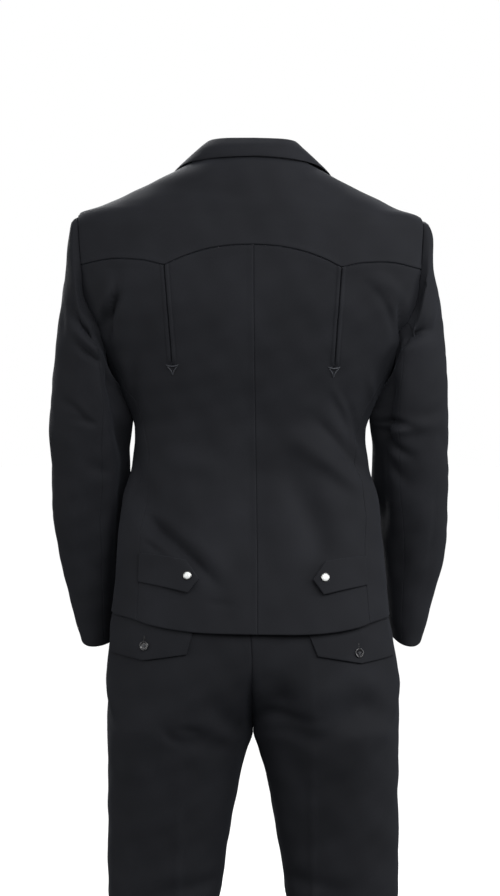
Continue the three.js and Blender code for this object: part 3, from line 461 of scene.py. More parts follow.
def reader(at, value):
    """Smooth reading of a table: a cubic between neighbouring rows whose slope at a row is the
    harmonic mean of the rises beside it, or none at a peak, so it never passes the rows."""
    order = np.argsort(at)
    at, value = np.asarray(at, float)[order], np.asarray(value, float)[order]
    step = np.diff(at)
    rise = np.diff(value) / step
    both = rise[:-1] * rise[1:]
    slope = np.concatenate([rise[:1], np.zeros(len(both)), rise[-1:]])
    slope[1:-1] = np.where(both > 0, 2 * both / np.where(both > 0, rise[:-1] + rise[1:], 1), 0)

    def read(place):
        place = np.clip(place, at[0], at[-1])
        i = np.clip(np.searchsorted(at, place, side="right") - 1, 0, len(step) - 1)
        t = (place - at[i]) / step[i]
        ends = value[i] * (1 + 2 * t) * (1 - t) ** 2 + value[i + 1] * t * t * (3 - 2 * t)
        bend = slope[i] * t * (1 - t) ** 2 - slope[i + 1] * t * t * (1 - t)
        return ends + step[i] * bend

    return read


def readers(columns, key):
    """A reader of each column of a table, by its key column."""
    return {name: reader(columns[key], columns[name]) for name in columns if name != key}


def spread(length, step, *close):
    """Shares from 0 to 1 along a length in mm, a step apart, and closer near given places: each
    is (place, reach, step there), and the spacing opens out from it as a bell curve."""
    fine = np.linspace(0, length, FINE)
    density = np.full(fine.shape, 1 / step)
    for place, reach, small in close:
        density = np.maximum(density, bell((fine - place) / reach) / small)
    total = np.concatenate([[0], np.cumsum((density[1:] + density[:-1]) / 2 * np.diff(fine))])
    count = int(np.ceil(total[-1]))
    return np.interp(np.linspace(0, total[-1], count + 1), total, fine) / length


def edged(length, step, small=0.7, reach=3.0):
    """A spread over a length, a step apart, and closer within reach of both borders, where the
    cloth turns in."""
    return spread(length, step, (0, reach, small), (length, reach, small))


def grid(down, across):
    """Two arrays, the measures down and across at each point of a grid."""
    return np.meshgrid(down, across, indexing="ij")


# ---------- the worn surfaces
torso_ring = readers(TORSO, "z")
hip_ring = readers(HIPS, "z")
leg_ring = readers(LEG, "z")
sleeve_ring = readers(SLEEVE, "ring")
collar_at = readers(COLLAR, "turn")
hem_at = reader(HEM["turn"], HEM["z"])


def ring_point(ring, turn, z):
    """Point of a superellipse ring: turn 0 is the centre back and a quarter turn the left side.
    The reach in that way is (|sin/wide|^n + |cos/deep|^n)^(-1/n) from its middle."""
    sine, cosine = np.sin(turn), np.cos(turn)
    mid, n = ring["mid"](z), ring["square"](z)
    deep = np.where(cosine >= 0, ring["back"](z) - mid, mid - ring["front"](z))
    reach = (np.abs(sine / ring["wide"](z)) ** n + np.abs(cosine / deep) ** n) ** (-1 / n)
    return np.stack([reach * sine, mid + reach * cosine, z + 0 * turn], -1)


def turn_at(x, z, front=False):
    """Turn round the jacket at which a ring passes x from the centre, at its back or front."""
    n, mid = torso_ring["square"](z), torso_ring["mid"](z)
    deep = torso_ring["front" if front else "back"](z) - mid
    share = np.minimum(np.abs(x) / torso_ring["wide"](z), 1)
    turn = np.arctan2(x, deep * (1 - share**n) ** (1 / n))
    return np.where((x < 0) & front, turn + 2 * np.pi, turn)


def jacket_sway(share, z):
    """Shift to the left: TURN at the sides by the square of the share, less the drift of the
    middle, which grows softly on its way to the hem."""
    return TURN * share**2 - DRIFT * (1 - share**2) * smooth((DRIFT_TOP - z) / DRIFT_LENGTH)


def trouser_sway(share, z):
    """Shift to the left, from TROUSER_SHIFT below to TURN at the waist, by a soft step."""
    return mix(TROUSER_SHIFT, TURN, smooth((z - SHIFT_FROM) / SHIFT_LENGTH)) + 0 * share


def big_fold_rise(x, z):
    """Rise of the largest folds: a bell curve across each, running out softly at its ends."""
    rise = 0 * x
    for from_x, from_z, to_x, to_z, wide, high in BIG_FOLDS:
        run, drop = to_x - from_x, to_z - from_z
        length = np.hypot(run, drop)
        way = ((x - from_x) * run + (z - from_z) * drop) / length**2
        off = ((x - from_x) * drop - (z - from_z) * run) / length
        ends = smooth((way + 0.25) * 2) * smooth((1.25 - way) * 2)
        rise = rise + high * ends * bell(off / wide)
    return rise


def worn(points, side, ring, sway):
    """A garment's own half, at its side, as it leans, turns and folds on the wearer."""
    x, y, z = points[..., 0] * side, points[..., 1], points[..., 2]
    share = np.clip(x / ring["wide"](z), -1, 1)
    fade = 1 - smooth((z - CROTCH) / (TROUSER_HEM - CROTCH))
    rise = np.where(y > 0, big_fold_rise(x, z), 0)
    return np.stack([x + sway(share, z) * fade, y + rise, z + LEAN * x * fade], -1)


def jacket(places, side):
    """Jacket at [turn, height] places."""
    turn, z = places[..., 0], places[..., 1]
    return worn(ring_point(torso_ring, turn, z), side, torso_ring, jacket_sway)


def trouser_point(share, z, front):
    """Left half of the trousers, from share 0 at the centre seam or inseam to 1 at the outseam:
    the hip ring passes into a ring of the leg's own on the way down to the crotch."""
    quarter = share * np.pi / 2
    hip = ring_point(hip_ring, np.pi - quarter if front else quarter, z)
    inner, outer = leg_ring["inner"](z), leg_ring["outer"](z)
    turn = (share - 0.5) * np.pi
    hold = hip_ring["mid"](z)
    deep = leg_ring["front" if front else "back"](z) - hold
    power = 2 / LEG_SQUARE
    across = (inner + outer) / 2 + (outer - inner) / 2 * squared(np.sin(turn), power)
    leg = np.stack([across, hold + deep * np.maximum(np.cos(turn), 0) ** power, z + 0 * share], -1)
    split = np.clip((z - SPLIT_FROM) / (CROTCH - SPLIT_FROM), 0, 1) ** SPLIT_LATE
    return mix(hip, leg, split[..., None])


def trouser(front):
    """The trousers' front or back at [share, height] places, a front's shares from the outseam.
    The crotch seam turns a little on the body, its back to the left and its front to the
    right, by a bell curve of the distance from it, so that the halves close on each other."""

    def surface(places, side):
        share, z = np.clip(1 - places[..., 0] if front else places[..., 0], 0, 1), places[..., 1]
        points = worn(trouser_point(share, z, front), side, hip_ring, trouser_sway)
        x, y, z = np.moveaxis(points, -1, 0)
        (top, fade), (foot, rise) = SEAM_TURN_TOP, SEAM_TURN_FOOT
        near = bell(x / SEAM_REACH) * smooth((top - z) / fade) * smooth((z - foot) / rise)
        return points + np.stack([SEAM_TURN * near * (y - SEAM_TURN_Y) / 100, 0 * x, 0 * x], -1)

    return surface


trouser_back, trouser_front = trouser(False), trouser(True)


def waist_round(places, side):
    """The waistband's half ring: way 0 to 1 is the back and 1 to 2 the front."""
    way, z = places[..., 0], places[..., 1]
    rear = trouser_point(np.clip(way, 0, 1), z, False)
    fore = trouser_point(np.clip(2 - way, 0, 1), z, True)
    return worn(np.where((way <= 1)[..., None], rear, fore), side, hip_ring, trouser_sway)


# ---------- seams of the left half
def seam(rows, front=False):
    """Curve through rows of x and z on the jacket's back or front, evenly by its length."""
    rows = np.array(rows, float)
    length = np.concatenate([[0], np.cumsum(np.hypot(*np.diff(rows, axis=0).T))])
    x, z = reader(length, rows[:, 0]), reader(length, rows[:, 1])

    def at(t):
        far = np.asarray(t, float) * length[-1]
        return np.stack([turn_at(x(far), z(far), front), z(far)], -1)

    return at


def join(*parts):
    """One curve from (curve, share of the way) parts, one after the other."""
    ends = np.cumsum([share for _, share in parts]) / sum(share for _, share in parts)
    starts = np.concatenate([[0], ends[:-1]])

    def at(t):
        t = np.asarray(t, float)
        whole = parts[0][0](np.clip(t / ends[0], 0, 1))
        for (curve, _), start, end in list(zip(parts, starts, ends))[1:]:
            part = curve(np.clip((t - start) / (end - start), 0, 1))
            whole = np.where((t >= start)[..., None], part, whole)
        return whole

    return at


def straight(start, end):
    """Straight line of places between two."""
    start, end = np.asarray(start, float), np.asarray(end, float)
    return lambda t: mix(start, end, np.asarray(t, float)[..., None])


def back(curve):
    """The curve from its end to its start."""
    return lambda t: curve(1 - np.asarray(t, float))


def mirrored(curve):
    """The curve on the other half."""
    return lambda t: curve(t) * (-1, 1)


def to_hem(curve):
    """The curve with its foot lowered to the hem, by the cube of the way down."""
    foot = curve(1.0)
    drop = hem_at(np.degrees(foot[0])) - foot[1]
    return lambda t: curve(t) + np.asarray(t, float)[..., None] ** 3 * (0, drop)


def hem_between(start, end):
    """Curve along the hem, from one place's turn to another's."""

    def at(t):
        turn = mix(start[0], end[0], np.asarray(t, float))
        return np.stack([turn, hem_at(np.degrees(turn))], -1)

    return at


def fill(top, bottom, left, right, down, across):
    """Places inside four seams: the two straight blends of opposite seams, added, less the
    blend of the four corners."""
    s, t = across[..., None], down[..., None]
    corners = mix(mix(top(0.0), top(1.0), s), mix(bottom(0.0), bottom(1.0), s), t)
    return mix(left(down), right(down), s) + mix(top(across), bottom(across), t) - corners


shoulder_seam = straight((np.pi / 2, NECK), (np.pi / 2, SHOULDER_END))
armhole_yoke = seam(ARMHOLE_BACK[:3])
armhole_back = seam(ARMHOLE_BACK[2:])
armhole_front = seam(ARMHOLE_FRONT, True)


def armhole_under(t):
    """Under the arm, from the back of the armhole to the front, sagging by sin(pi t)^0.8."""
    t = np.asarray(t, float)
    start, end = armhole_back(1.0), armhole_front(0.0)
    sag = np.sin(np.pi * np.clip(t, 0, 1)) ** 0.8
    return np.stack([mix(start[0], end[0], t), mix(mix(start[1], end[1], t), UNDERARM, sag)], -1)


yoke_seam = join((seam(YOKE_SIDE), 3), (seam(YOKE_CENTRE), 4))
side_back_seam = to_hem(seam(SIDE_BACK))
side_front_seam = to_hem(seam(SIDE_FRONT, True))
neck_back = straight((np.pi / 2, NECK), (0, NECK))
fold_top = NECK_FRONT[2]
fold_foot = (-FRONT_LAP, BUTTON_Z)
front_edge = to_hem(
    join(
        (seam(NECK_FRONT, True), 3),
        (seam((fold_top, fold_foot), True), 7),
        (seam((fold_foot, (-FRONT_LAP, -622)), True), 6),
    )
)
centre_back = straight(yoke_seam(1.0), (0, hem_at(0)))
armhole = join((armhole_yoke, 2), (armhole_back, 5), (armhole_under, 6), (armhole_front, 7))


# ---------- cloth
def outward(surface, places, side):
    """Outward directions of a surface: its steepest way up crossed with its way round."""
    along, up = np.diag(NUDGES.get(surface, (0.002, 0.4)))
    across = surface(places + along, side) - surface(places - along, side)
    rise = surface(places + up, side) - surface(places - up, side)
    return unit(np.cross(rise, across)) * side


def crease_rise(creases, across, up):
    """Height of the cloth over creases. Over one, it is the rise times a profile of the share u
    of the half width: (1 - u^2/2) exp(-u^2/2), with low shoulders beyond it, when soft, and
    exp(-1.5|u|) when sharp. It comes up quickly at the first end and runs out at the other."""
    rise = 0 * across
    for a, b, to_a, to_b, bow, wide, wide_to, high, sharp in creases:
        run, drop = to_a - a, to_b - b
        length = np.hypot(run, drop)
        way = ((across - a) * run + (up - b) * drop) / length**2
        inside = np.clip(way, 0, 1)
        off = ((across - a) * drop - (up - b) * run) / length - bow * 4 * inside * (1 - inside)
        u = off / mix(wide, wide_to, inside)
        soft = (1 - u * u / 2) * np.exp(-u * u / 2)
        crisp = np.exp(0.15 - 1.5 * np.sqrt(u * u + 0.01))
        ends = smooth((way + 0.18) / 0.4) * smooth((1.22 - way) / 0.75)
        rise = rise + high * ends * mix(soft, crisp, sharp)
    return rise


def creased(points, out, creases):
    """Height of the cloth over the creases of the four sides from which it is seen, each where
    the cloth faces that way. The back's are placed as seen from VIEW."""
    x, y, z = np.moveaxis(points, -1, 0)
    near = VIEW[1] / (VIEW[1] - y)
    seen = {
        "back": (VIEW[0] + (x - VIEW[0]) * near, VIEW[2] + (z - VIEW[2]) * near, out[..., 1]),
        "front": (x, z, -out[..., 1]),
        "left": (y, z, out[..., 0]),
        "right": (y, z, -out[..., 0]),
    }
    rise = 0 * x
    for way, rows in creases.items():
        across, up, facing = seen[way]
        rise = rise + crease_rise(rows, across, up) * smooth(facing * 2.4 + 0.1)
    return rise


def ripple(points, size=95.0, height=0.7):
    """Slow unevenness of worn cloth: six sine waves in fixed ways, about size mm long."""
    ways = np.stack([WAVES[axis] for axis in "xyz"])
    phase = points @ ways * (2 * np.pi / size) + WAVES["start"]
    return height * np.sin(phase).sum(-1) / 3


def skin(surface, places, side, creases=None):
    """Points of a surface, their outward directions, and the height of the creased cloth."""
    points = surface(places, side)
    out = outward(surface, places, side)
    height = creased(points, out, CREASES.get(surface, {}) if creases is None else creases)
    return points, out, height * settings().crease_depth + ripple(points)


# ---------- sleeve surface
@cache
def armhole_line(side):
    """Fine places round the armhole, the turn round the sleeve at each, with half a turn at the
    lowest, and the points and outward directions of the creased jacket there."""
    fine = np.linspace(0, PLACES, 40 * PLACES + 1)
    places = armhole(fine / PLACES)
    points, out, height = skin(jacket, places, side)
    far = np.concatenate([[0], np.cumsum(np.linalg.norm(np.diff(points, axis=0), axis=-1))])
    bottom = np.interp(UNDER_PLACE, fine, far)
    first, second = far / bottom, 1 + (far - bottom) / (far[-1] - bottom)
    turn = np.pi * np.where(fine <= UNDER_PLACE, first, second)
    return fine, turn, points + out * height[..., None], out


def on_armhole(side, place, which):
    """Turn, point or outward direction of the armhole at places round it."""
    fine, *columns = armhole_line(side)
    values = columns[which]
    if values.ndim == 1:
        return np.interp(place % PLACES, fine, values)
    return np.stack([np.interp(place % PLACES, fine, column) for column in values.T], -1)


def past_place(place, middle):
    """How far a place round the armhole is past another, the shorter way round."""
    return (place - middle + PLACES / 2) % PLACES - PLACES / 2


def sleeve_own(ring, turn, side):
    """The sleeve's own ring, a leaning superellipse between its outer and its inner edge."""
    hand = "l" if side > 0 else "r"
    power = 2 / SLEEVE_SQUARE
    share = (1 + squared(np.cos(turn), power)) / 2
    deep = squared(np.sin(turn), power) * sleeve_ring["deep"](ring)
    lean = np.radians(sleeve_ring["lean"](ring))
    x = mix(sleeve_ring["in_" + hand](ring), sleeve_ring["out_" + hand](ring), share)
    z = mix(sleeve_ring["in_z"](ring), sleeve_ring["out_z"](ring), share)
    y = sleeve_ring["y"](ring) + deep * np.cos(lean)
    return np.stack([x * side, y, z - deep * np.sin(lean)], -1)


def sleeve(places, side):
    """Sleeve at [armhole place, ring] places: it starts on the armhole and eases into its own
    rings."""
    place, ring = places[..., 0], places[..., 1]
    turn = on_armhole(side, place, 0)
    start = on_armhole(side, place, 1) - sleeve_own(0 * ring, turn, side)
    start = start + np.array([side * SEAM * 0.4, 0, 0])
    keep = 1 - smooth(ring / (EASE_OUT + EASE_BEHIND * bell(past_place(place, BLADE_PLACE) / 1.9)))
    return sleeve_own(ring, turn, side) + start * keep[..., None]


# Steps of a surface's own two measures by which its slope is taken, and its creases.
NUDGES = {sleeve: (0.05, 0.04)}
CREASES = {
    jacket: JACKET_CREASES,
    sleeve: SLEEVE_CREASES,
    trouser_back: TROUSER_CREASES,
    trouser_front: TROUSER_CREASES,
}


# ---------- sewing
def border_distances(points):
    """Distance in mm of each point of a grid from its top, bottom, left and right border,
    along the grid's own lines."""
    down, across = (np.linalg.norm(np.diff(points, axis=axis), axis=-1) for axis in (0, 1))
    down = np.pad(np.cumsum(down, axis=0), ((1, 0), (0, 0)))
    across = np.pad(np.cumsum(across, axis=1), ((0, 0), (1, 0)))
    return down, down[-1:] - down, across, across[:, -1:] - across


def turned_in(distances, sinks, radius=2.0):
    """How far the cloth turns in at its top, bottom, left and right border, by a quarter circle
    as deep as its sink. Beside a deep one stands a low ridge, the pressed seam allowance."""
    sink = 0
    for distance, depth in zip(distances, sinks):
        near = 1 - np.clip(distance / radius, 0, 1)
        sink = sink + depth * (1 - np.sqrt(1 - near**2))
        if depth > 1:
            sink = sink - RIDGE * smooth((ALLOWANCE - distance) / 4) * smooth(distance / 2)
    return sink


def tucked(points, out, depth):
    """The grid with its two side borders folded straight in, so that a seam stays shut when it
    is seen at a slant."""
    low = points[:, [0, -1]] - out[:, [0, -1]] * depth
    points = np.concatenate([low[:, :1], points, low[:, 1:]], axis=1)
    return points, np.concatenate([out[:, :1], out, out[:, -1:]], axis=1)


def as_object(name, vertices, faces, uv=None):
    """Mesh object at the origin from points in mm, with the points' own UV in metres."""
    mesh = bpy.data.meshes.new(name)
    mesh.from_pydata((vertices * MM).tolist(), [], faces.tolist())
    if uv is not None:
        layer = mesh.uv_layers.new(name="weave")
        loops = np.empty(len(mesh.loops), np.int32)
        mesh.loops.foreach_get("vertex_index", loops)
        layer.data.foreach_set("uv", uv[loops].astype(np.float32).ravel())
    mesh.polygons.foreach_set("use_smooth", np.ones(len(mesh.polygons), bool))
    mesh.update()
    return in_scene(name, mesh)


def in_scene(name, data):
    """New object of some data, linked to the scene."""
    found = bpy.data.objects.new(name, data)
    bpy.context.scene.collection.objects.link(found)
    return found


def grid_faces(rows, columns, flip=False, closed=False):
    """Quads between neighbouring points of a grid, round to its first column when closed."""
    j, i = grid(np.arange(rows - 1), np.arange(columns if closed else columns - 1))
    following = (i + 1) % columns
    quads = [j * columns + i, (j + 1) * columns + i]
    quads += [(j + 1) * columns + following, j * columns + following]
    faces = np.stack(quads, -1).reshape(-1, 4)
    return faces[:, ::-1] if flip else faces


def faces_for(points, out):
    """Quads of a grid whose faces look the outward way."""
    normal = np.cross(points[1:, :-1] - points[:-1, :-1], points[:-1, 1:] - points[:-1, :-1])
    return grid_faces(*points.shape[:2], flip=np.sum(normal * out[:-1, :-1]) < 0)


def finish_piece(piece, material, nodes=()):
    """Gives a piece its material and body, and hides the parts of the nodes that it stands for."""
    piece.data.materials.append(material)
    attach(piece, "root")
    if nodes:
        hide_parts(*nodes)


def sew(name, points, out, nodes=None, on=(), held="hung", wall=CLOTH):
    """Cloth piece on a grid of points: its wall goes inwards, and its UV follows the threads. The pieces
    given as on, for it to rest on, are not used."""
    down, _, across, _ = border_distances(points)
    uv = np.stack([across - across[:, -1:] / 2, -down + points[:1, :, 2]], -1) * MM
    faces = faces_for(points, out)
    piece = as_object(f"{name}_cloth", points.reshape(-1, 3), faces, uv.reshape(-1, 2))
    thick = piece.modifiers.new("wall", "SOLIDIFY")
    thick.thickness = wall * MM
    thick.offset = -1
    finish_piece(piece, suiting(), nodes or [name])


def panel(
    name, surface, places, side, sinks, creases=None, lift=0, relief=0, hold=1, steer=None, tuck=0, **cloth
):
    """Panel of cloth at places of a surface: its height is that of the creased cloth by the
    share hold, with its relief and its lift, a height or a function of the points, less what it
    turns in by sinks at its borders. steer changes its outward directions, and tuck folds its
    side borders in."""
    base, out, height = skin(surface, places, side, creases)
    if steer is not None:
        out = unit(steer(base, out))
    height = height * hold + relief - turned_in(border_distances(base), sinks)
    height = height + (lift(base) if callable(lift) else lift)
    points = base + out * height[..., None]
    if tuck:
        points, out = tucked(points, out, tuck)
    sew(name, points, out, **cloth)


def from_centre(column, reach, low=-9999):
    """Steers outward directions straight back or forward beside the column of the centre seam,
    above a height, so that the two halves meet there."""

    def steer(points, out):
        above = smooth((points[..., 2] - low) / 4)
        inner = np.take(out, np.clip(np.arange(out.shape[1]), 2, out.shape[1] - 3), axis=1)
        out = mix(out, inner, above[..., None])
        off = np.abs(points[..., 0] - points[:, column, 0][:, None])
        keep = 1 - (1 - smooth(off / reach)) * above
        return out * np.stack([keep, 0 * keep + 1, 0 * keep + 1], -1)

    return steer


# ---------- materials
def colour(code):
    """sRGB hex colour as linear, with full alpha."""
    c = np.array([int(code[i : i + 2], 16) for i in (1, 3, 5)]) / 255
    linear = np.where(c <= 0.04045, c / 12.92, ((c + 0.055) / 1.055) ** 2.4)
    return (*linear.tolist(), 1.0)


def add(tree, kind, inputs=None, out=0, **fields):
    """Adds a shader node, sets its fields and inputs, links those inputs given as sockets, and
    returns one of its outputs."""
    node = tree.nodes.new("ShaderNode" + kind)
    for name, value in fields.items():
        setattr(node, name, value)
    for name, value in (inputs or {}).items():
        socket = node.inputs[name]
        if isinstance(value, bpy.types.NodeSocket):
            tree.links.new(value, socket)
        else:
            socket.default_value = value
    return node.outputs[out] if len(node.outputs) else None


def finish(name):
    """Turns a function that adds a shader's nodes into one that gives the material of a name,
    made once."""

    def with_name(shader):
        def material():
            if name not in bpy.data.materials:
                made = bpy.data.materials.new(name)
                made.use_nodes = True
                made.node_tree.nodes.clear()
                add(made.node_tree, "OutputMaterial", {"Surface": shader(made.node_tree)})
            return bpy.data.materials[name]

        return material

    return with_name


@finish("worsted twill, near black")
def suiting(tree):
    """Worsted wool twill: smooth-finished yarns in fine diagonal ribs. It looks nearly black and
    matt, with a faint cool bloom where it turns from the eye."""
    props = settings()
    threads = add(tree, "UVMap", uv_map="weave")
    here = add(tree, "TexCoord", out="Object")
    # ribs of 0.7 mm drawn 1.4 mm apart, because the real ones are too fine to show
    ribs = {}
    for k, (turn, apart, uneven) in enumerate(((1.1, props.rib, 0.4), (-0.6, props.rib * 0.8, 0.3))):
        turned = add(tree, "Mapping", {"Vector": threads, "Rotation": (0, 0, turn)})
        wave = {"Vector": turned, "Scale": 0.314 / apart, "Distortion": uneven}
        ribs[k] = add(tree, "TexWave", wave, out=1, bands_direction="X")
    weave = add(tree, "Math", ribs, operation="MULTIPLY")
    fibres = add(tree, "TexNoise", {"Vector": here, "Scale": 700.0, "Detail": 3.0})
    cloudy = add(tree, "TexNoise", {"Vector": here, "Scale": 14.0, "Detail": 2.0})
    heather = add(tree, "Math", {0: fibres, 1: cloudy}, operation="MULTIPLY")
    tint = add(tree, "MapRange", {"Value": heather, "From Min": 0.12, "From Max": 0.42})
    deep, light = ((*(c * share for c in props.cloth_colour), 1) for share in (0.8, 1.2))
    shade = add(tree, "Mix", {"Factor": tint, 6: deep, 7: light}, out=2, data_type="RGBA")
    rough = add(tree, "MapRange", {"Value": fibres, "To Min": 0.74, "To Max": 0.9})
    bump = add(tree, "Bump", {"Strength": 0.35, "Distance": 0.00025, "Height": weave})
    nap = {"Strength": 0.2, "Distance": 0.0003, "Height": fibres, "Normal": bump}
    look = {
        "Base Color": shade,
        "Roughness": rough,
        "Normal": add(tree, "Bump", nap),
        "Specular IOR Level": 0.16,
        "Sheen Weight": props.sheen,
        "Sheen Roughness": 0.5,
        "Sheen Tint": colour("#c9d2e6"),
    }
    return add(tree, "BsdfPrincipled", look)


def silk(tree, deep, light):
    """Silk buttonhole twist: a loosely plied, glossy thread that glints where it turns up."""
    here = add(tree, "TexCoord", out="Object")
    # plies of 0.3 mm, drawn at 0.6 mm
    plies = add(tree, "TexNoise", {"Vector": here, "Scale": 1600.0, "Detail": 1.0})
    tones = {"Factor": plies, 6: colour(deep), 7: colour(light)}
    shade = add(tree, "Mix", tones, out=2, data_type="RGBA")
    bump = add(tree, "Bump", {"Strength": 0.3, "Distance": 0.0001, "Height": plies})
    look = {"Base Color": shade, "Roughness": 0.42, "Normal": bump, "Sheen Weight": 0.1}
    return add(tree, "BsdfPrincipled", look)


@finish("silk twist, charcoal")
def charcoal_silk(tree):
    """The twist of tacks and buttons, a shade paler than the cloth, so that each stitch shows."""
    return silk(tree, "#222429", "#43464d")


@finish("silk twist, black, painted slot shade")
def slot_shade_silk(tree):
    """The twist of buttonholes, painted darker than the cloth: its black is painted shade that makes the
    slot look deep.
    """
    return silk(tree, "#08090a", "#141518")


@finish("dyed horn, polished")
def horn(tree):
    """Polished dyed horn: nearly black with faint streaks, under a hard gloss."""
    here = add(tree, "TexCoord", out="Object")
    grain = add(tree, "Mapping", {"Vector": here, "Scale": (1.0, 1.0, 5.0)})
    streaks = add(tree, "TexNoise", {"Vector": grain, "Scale": 160.0, "Detail": 4.0})
    tones = {"Factor": streaks, 6: colour("#08080a"), 7: colour("#222126")}
    shade = add(tree, "Mix", tones, out=2, data_type="RGBA")
    look = {"Base Color": shade, "Roughness": 0.2, "Coat Weight": 0.6, "Coat Roughness": 0.08}
    return add(tree, "BsdfPrincipled", look)


@finish("pearl cap, white")
def pearl(tree):
    """Pearl snap cap: layered shell or its copy in resin, milky white with faint cool clouds
    and a wet gloss."""
    here = add(tree, "TexCoord", out="Object")
    clouds = add(tree, "TexNoise", {"Vector": here, "Scale": 420.0, "Detail": 3.0})
    tones = {"Factor": clouds, 6: colour("#ffffff"), 7: colour("#e6ebe9")}
    shade = add(tree, "Mix", tones, out=2, data_type="RGBA")
    look = {"Base Color": shade, "Roughness": 0.22, "Coat Weight": 0.8, "Coat Roughness": 0.05}
    return add(tree, "BsdfPrincipled", look)


@finish("nickel plate, polished")
def nickel(tree):
    """Nickel-plated brass prong ring: pressed and polished, so it mirrors softly."""
    here = add(tree, "TexCoord", out="Object")
    wear = add(tree, "TexNoise", {"Vector": here, "Scale": 900.0, "Detail": 2.0})
    rough = add(tree, "MapRange", {"Value": wear, "To Min": 0.16, "To Max": 0.34})
    look = {"Base Color": colour("#8c8c8a"), "Metallic": 1.0, "Roughness": rough}
    return add(tree, "BsdfPrincipled", look)


@finish("matt floor paint, pale")
def floor_paint(tree):
    """Matt painted floor: pale and even, with a trace of roller texture."""
    here = add(tree, "TexCoord", out="Object")
    grain = add(tree, "TexNoise", {"Vector": here, "Scale": 30.0, "Detail": 2.0})
    base = tuple(bpy.context.scene.suit_stage.floor_colour)
    tones = {"Factor": grain, 6: (*base, 1), 7: (*(c * 0.98 for c in base), 1)}
    shade = add(tree, "Mix", tones, out=2, data_type="RGBA")
    return add(tree, "BsdfPrincipled", {"Base Color": shade, "Roughness": 0.9})


# ---------- jacket body
def yoke_piece():
    """Back yoke, lapped over the backs: its lower edge stands up before it turns in."""
    edge = join((shoulder_seam, 5), (armhole_yoke, 2))
    top = join((neck_back, 7), (back(mirrored(neck_back)), 7))
    bottom = join((yoke_seam, 7), (back(mirrored(yoke_seam)), 7))
    places = fill(top, bottom, edge, mirrored(edge), *grid(edged(250, 4.2), edged(470, 4.0)))
    lap = 1.1 * smooth(1 - border_distances(jacket(places, 1))[1] / 8)
    sinks = (1.0, 2.4, 0.6, 0.6)
    panel("yoke", jacket, places, 1, sinks, relief=lap, nodes=["back_yoke"], held="draped")


def pleat_relief(places):
    """Relief of the pleat by the distance d from its slit: two pressed lips that roll into a
    slit, and a step where the folds end. Under the arrowhead the tight stitches draw the cloth
    in, round a small open middle."""
    x, _, z = np.moveaxis(ring_point(torso_ring, places[..., 0], places[..., 1]), -1, 0)
    share = (z - PLEAT_TOP[1]) / (PLEAT_FOOT[1] - PLEAT_TOP[1])
    d = np.abs(x - mix(PLEAT_TOP[0], PLEAT_FOOT[0], share))
    roll = 1 - np.clip((d - PLEAT_SLIT) / PLEAT_LIP, 0, 1)
    step = smooth((d - PLEAT_FOLD) / 0.9 + 0.5)
    groove = PLEAT_GROOVE * bell((d - PLEAT_FOLD - 0.8) / 0.7)
    lips = PLEAT_STEP * (1 - step) - groove - PLEAT_DEEP * (1 - np.sqrt(1 - roll**2))
    lips = lips * smooth((share + 0.06) / 0.04) * smooth((1.0 - share) / 0.015)
    off = np.hypot(x - ARROW[0], z - ARROW[1])
    middle = np.hypot(x - ARROW[0], (z - ARROW[1] - 2.0) * 0.7)
    return lips - DRAWN_IN * bell(off / 8) - HOLE * smooth(1.6 - middle / 1.6)


def pleat_columns(places_for, down, across, nominal):
    """Columns moved so that the one at the nominal share follows the slit of the pleat."""
    shares = np.linspace(0, 1, 400)
    probe = places_for(*grid(down[:, 0], shares))
    x, _, z = np.moveaxis(ring_point(torso_ring, probe[..., 0], probe[..., 1]), -1, 0)
    way = np.clip((z - PLEAT_TOP[1]) / (PLEAT_FOOT[1] - PLEAT_TOP[1]), -0.2, 1.6)
    found = shares[np.argmin(np.abs(x - mix(PLEAT_TOP[0], PLEAT_FOOT[0], way)), axis=1)]
    kernel = np.hanning(9) / np.hanning(9).sum()
    found = np.convolve(np.pad(found, 4, mode="edge"), kernel, mode="valid")[:, None]
    before = across / nominal * found
    after = found + (across - nominal) / (1 - nominal) * (1 - found)
    return np.where(across < nominal, before, after)


def back_pieces():
    """Backs, each with its pleat."""
    edge = join((armhole_back, 5), (side_back_seam, 9))
    hem = hem_between(side_back_seam(1.0), (0, 0))

    def places_for(down, across):
        return fill(yoke_seam, hem, edge, centre_back, down, across)

    nominal, width = 0.42, 200
    folds = (nominal * width, 3.0, 0.3), (nominal * width, 9, 0.8)
    shares = spread(width, 3.6, (0, 3, 0.7), (width, 3, 0.6), *folds)
    down, across = grid(edged(495, 3.6), shares)
    places = places_for(down, pleat_columns(places_for, down, across, nominal))
    for hand, side in SIDES:
        beside = border_distances(jacket(places, side))[3]
        laid = (0.6 if side > 0 else 0.1) * smooth((7 - beside) / 3)
        panel(
            f"back_{hand}", jacket, places, side, (1.3, 0.8, 0.35, 0.9),
            relief=pleat_relief(places) + laid, steer=from_centre(-1, 16), tuck=1.6,
            nodes=[f"back_{hand}", f"pleat_inner_{hand}", f"pleat_outer_{hand}"], on=["yoke"],
        )


def side_and_front_pieces():
    """Side panels under the arms, and the fronts from the shoulder to the hem."""
    hem = hem_between(side_back_seam(1.0), side_front_seam(1.0))
    down_across = grid(edged(340, 4.2), edged(60, 3.6))
    sides = fill(armhole_under, hem, side_back_seam, side_front_seam, *down_across)
    hem = hem_between(side_front_seam(1.0), front_edge(1.0))
    edge = join((back(armhole_front), 7), (side_front_seam, 9))
    down_across = grid(edged(640, 5.0), edged(190, 4.6))
    fronts = fill(back(shoulder_seam), hem, edge, front_edge, *down_across)
    for hand, side in SIDES:
        panel(f"side_{hand}", jacket, sides, side, (1.0, 0.8, 0.35, 0.6), on=[f"back_{hand}"])
        sinks, lift = (1.1, 0.8, 0.9, 0.9), lap_lift(side)
        panel(f"front_{hand}", jacket, fronts, side, sinks, lift=lift, on=["yoke"])


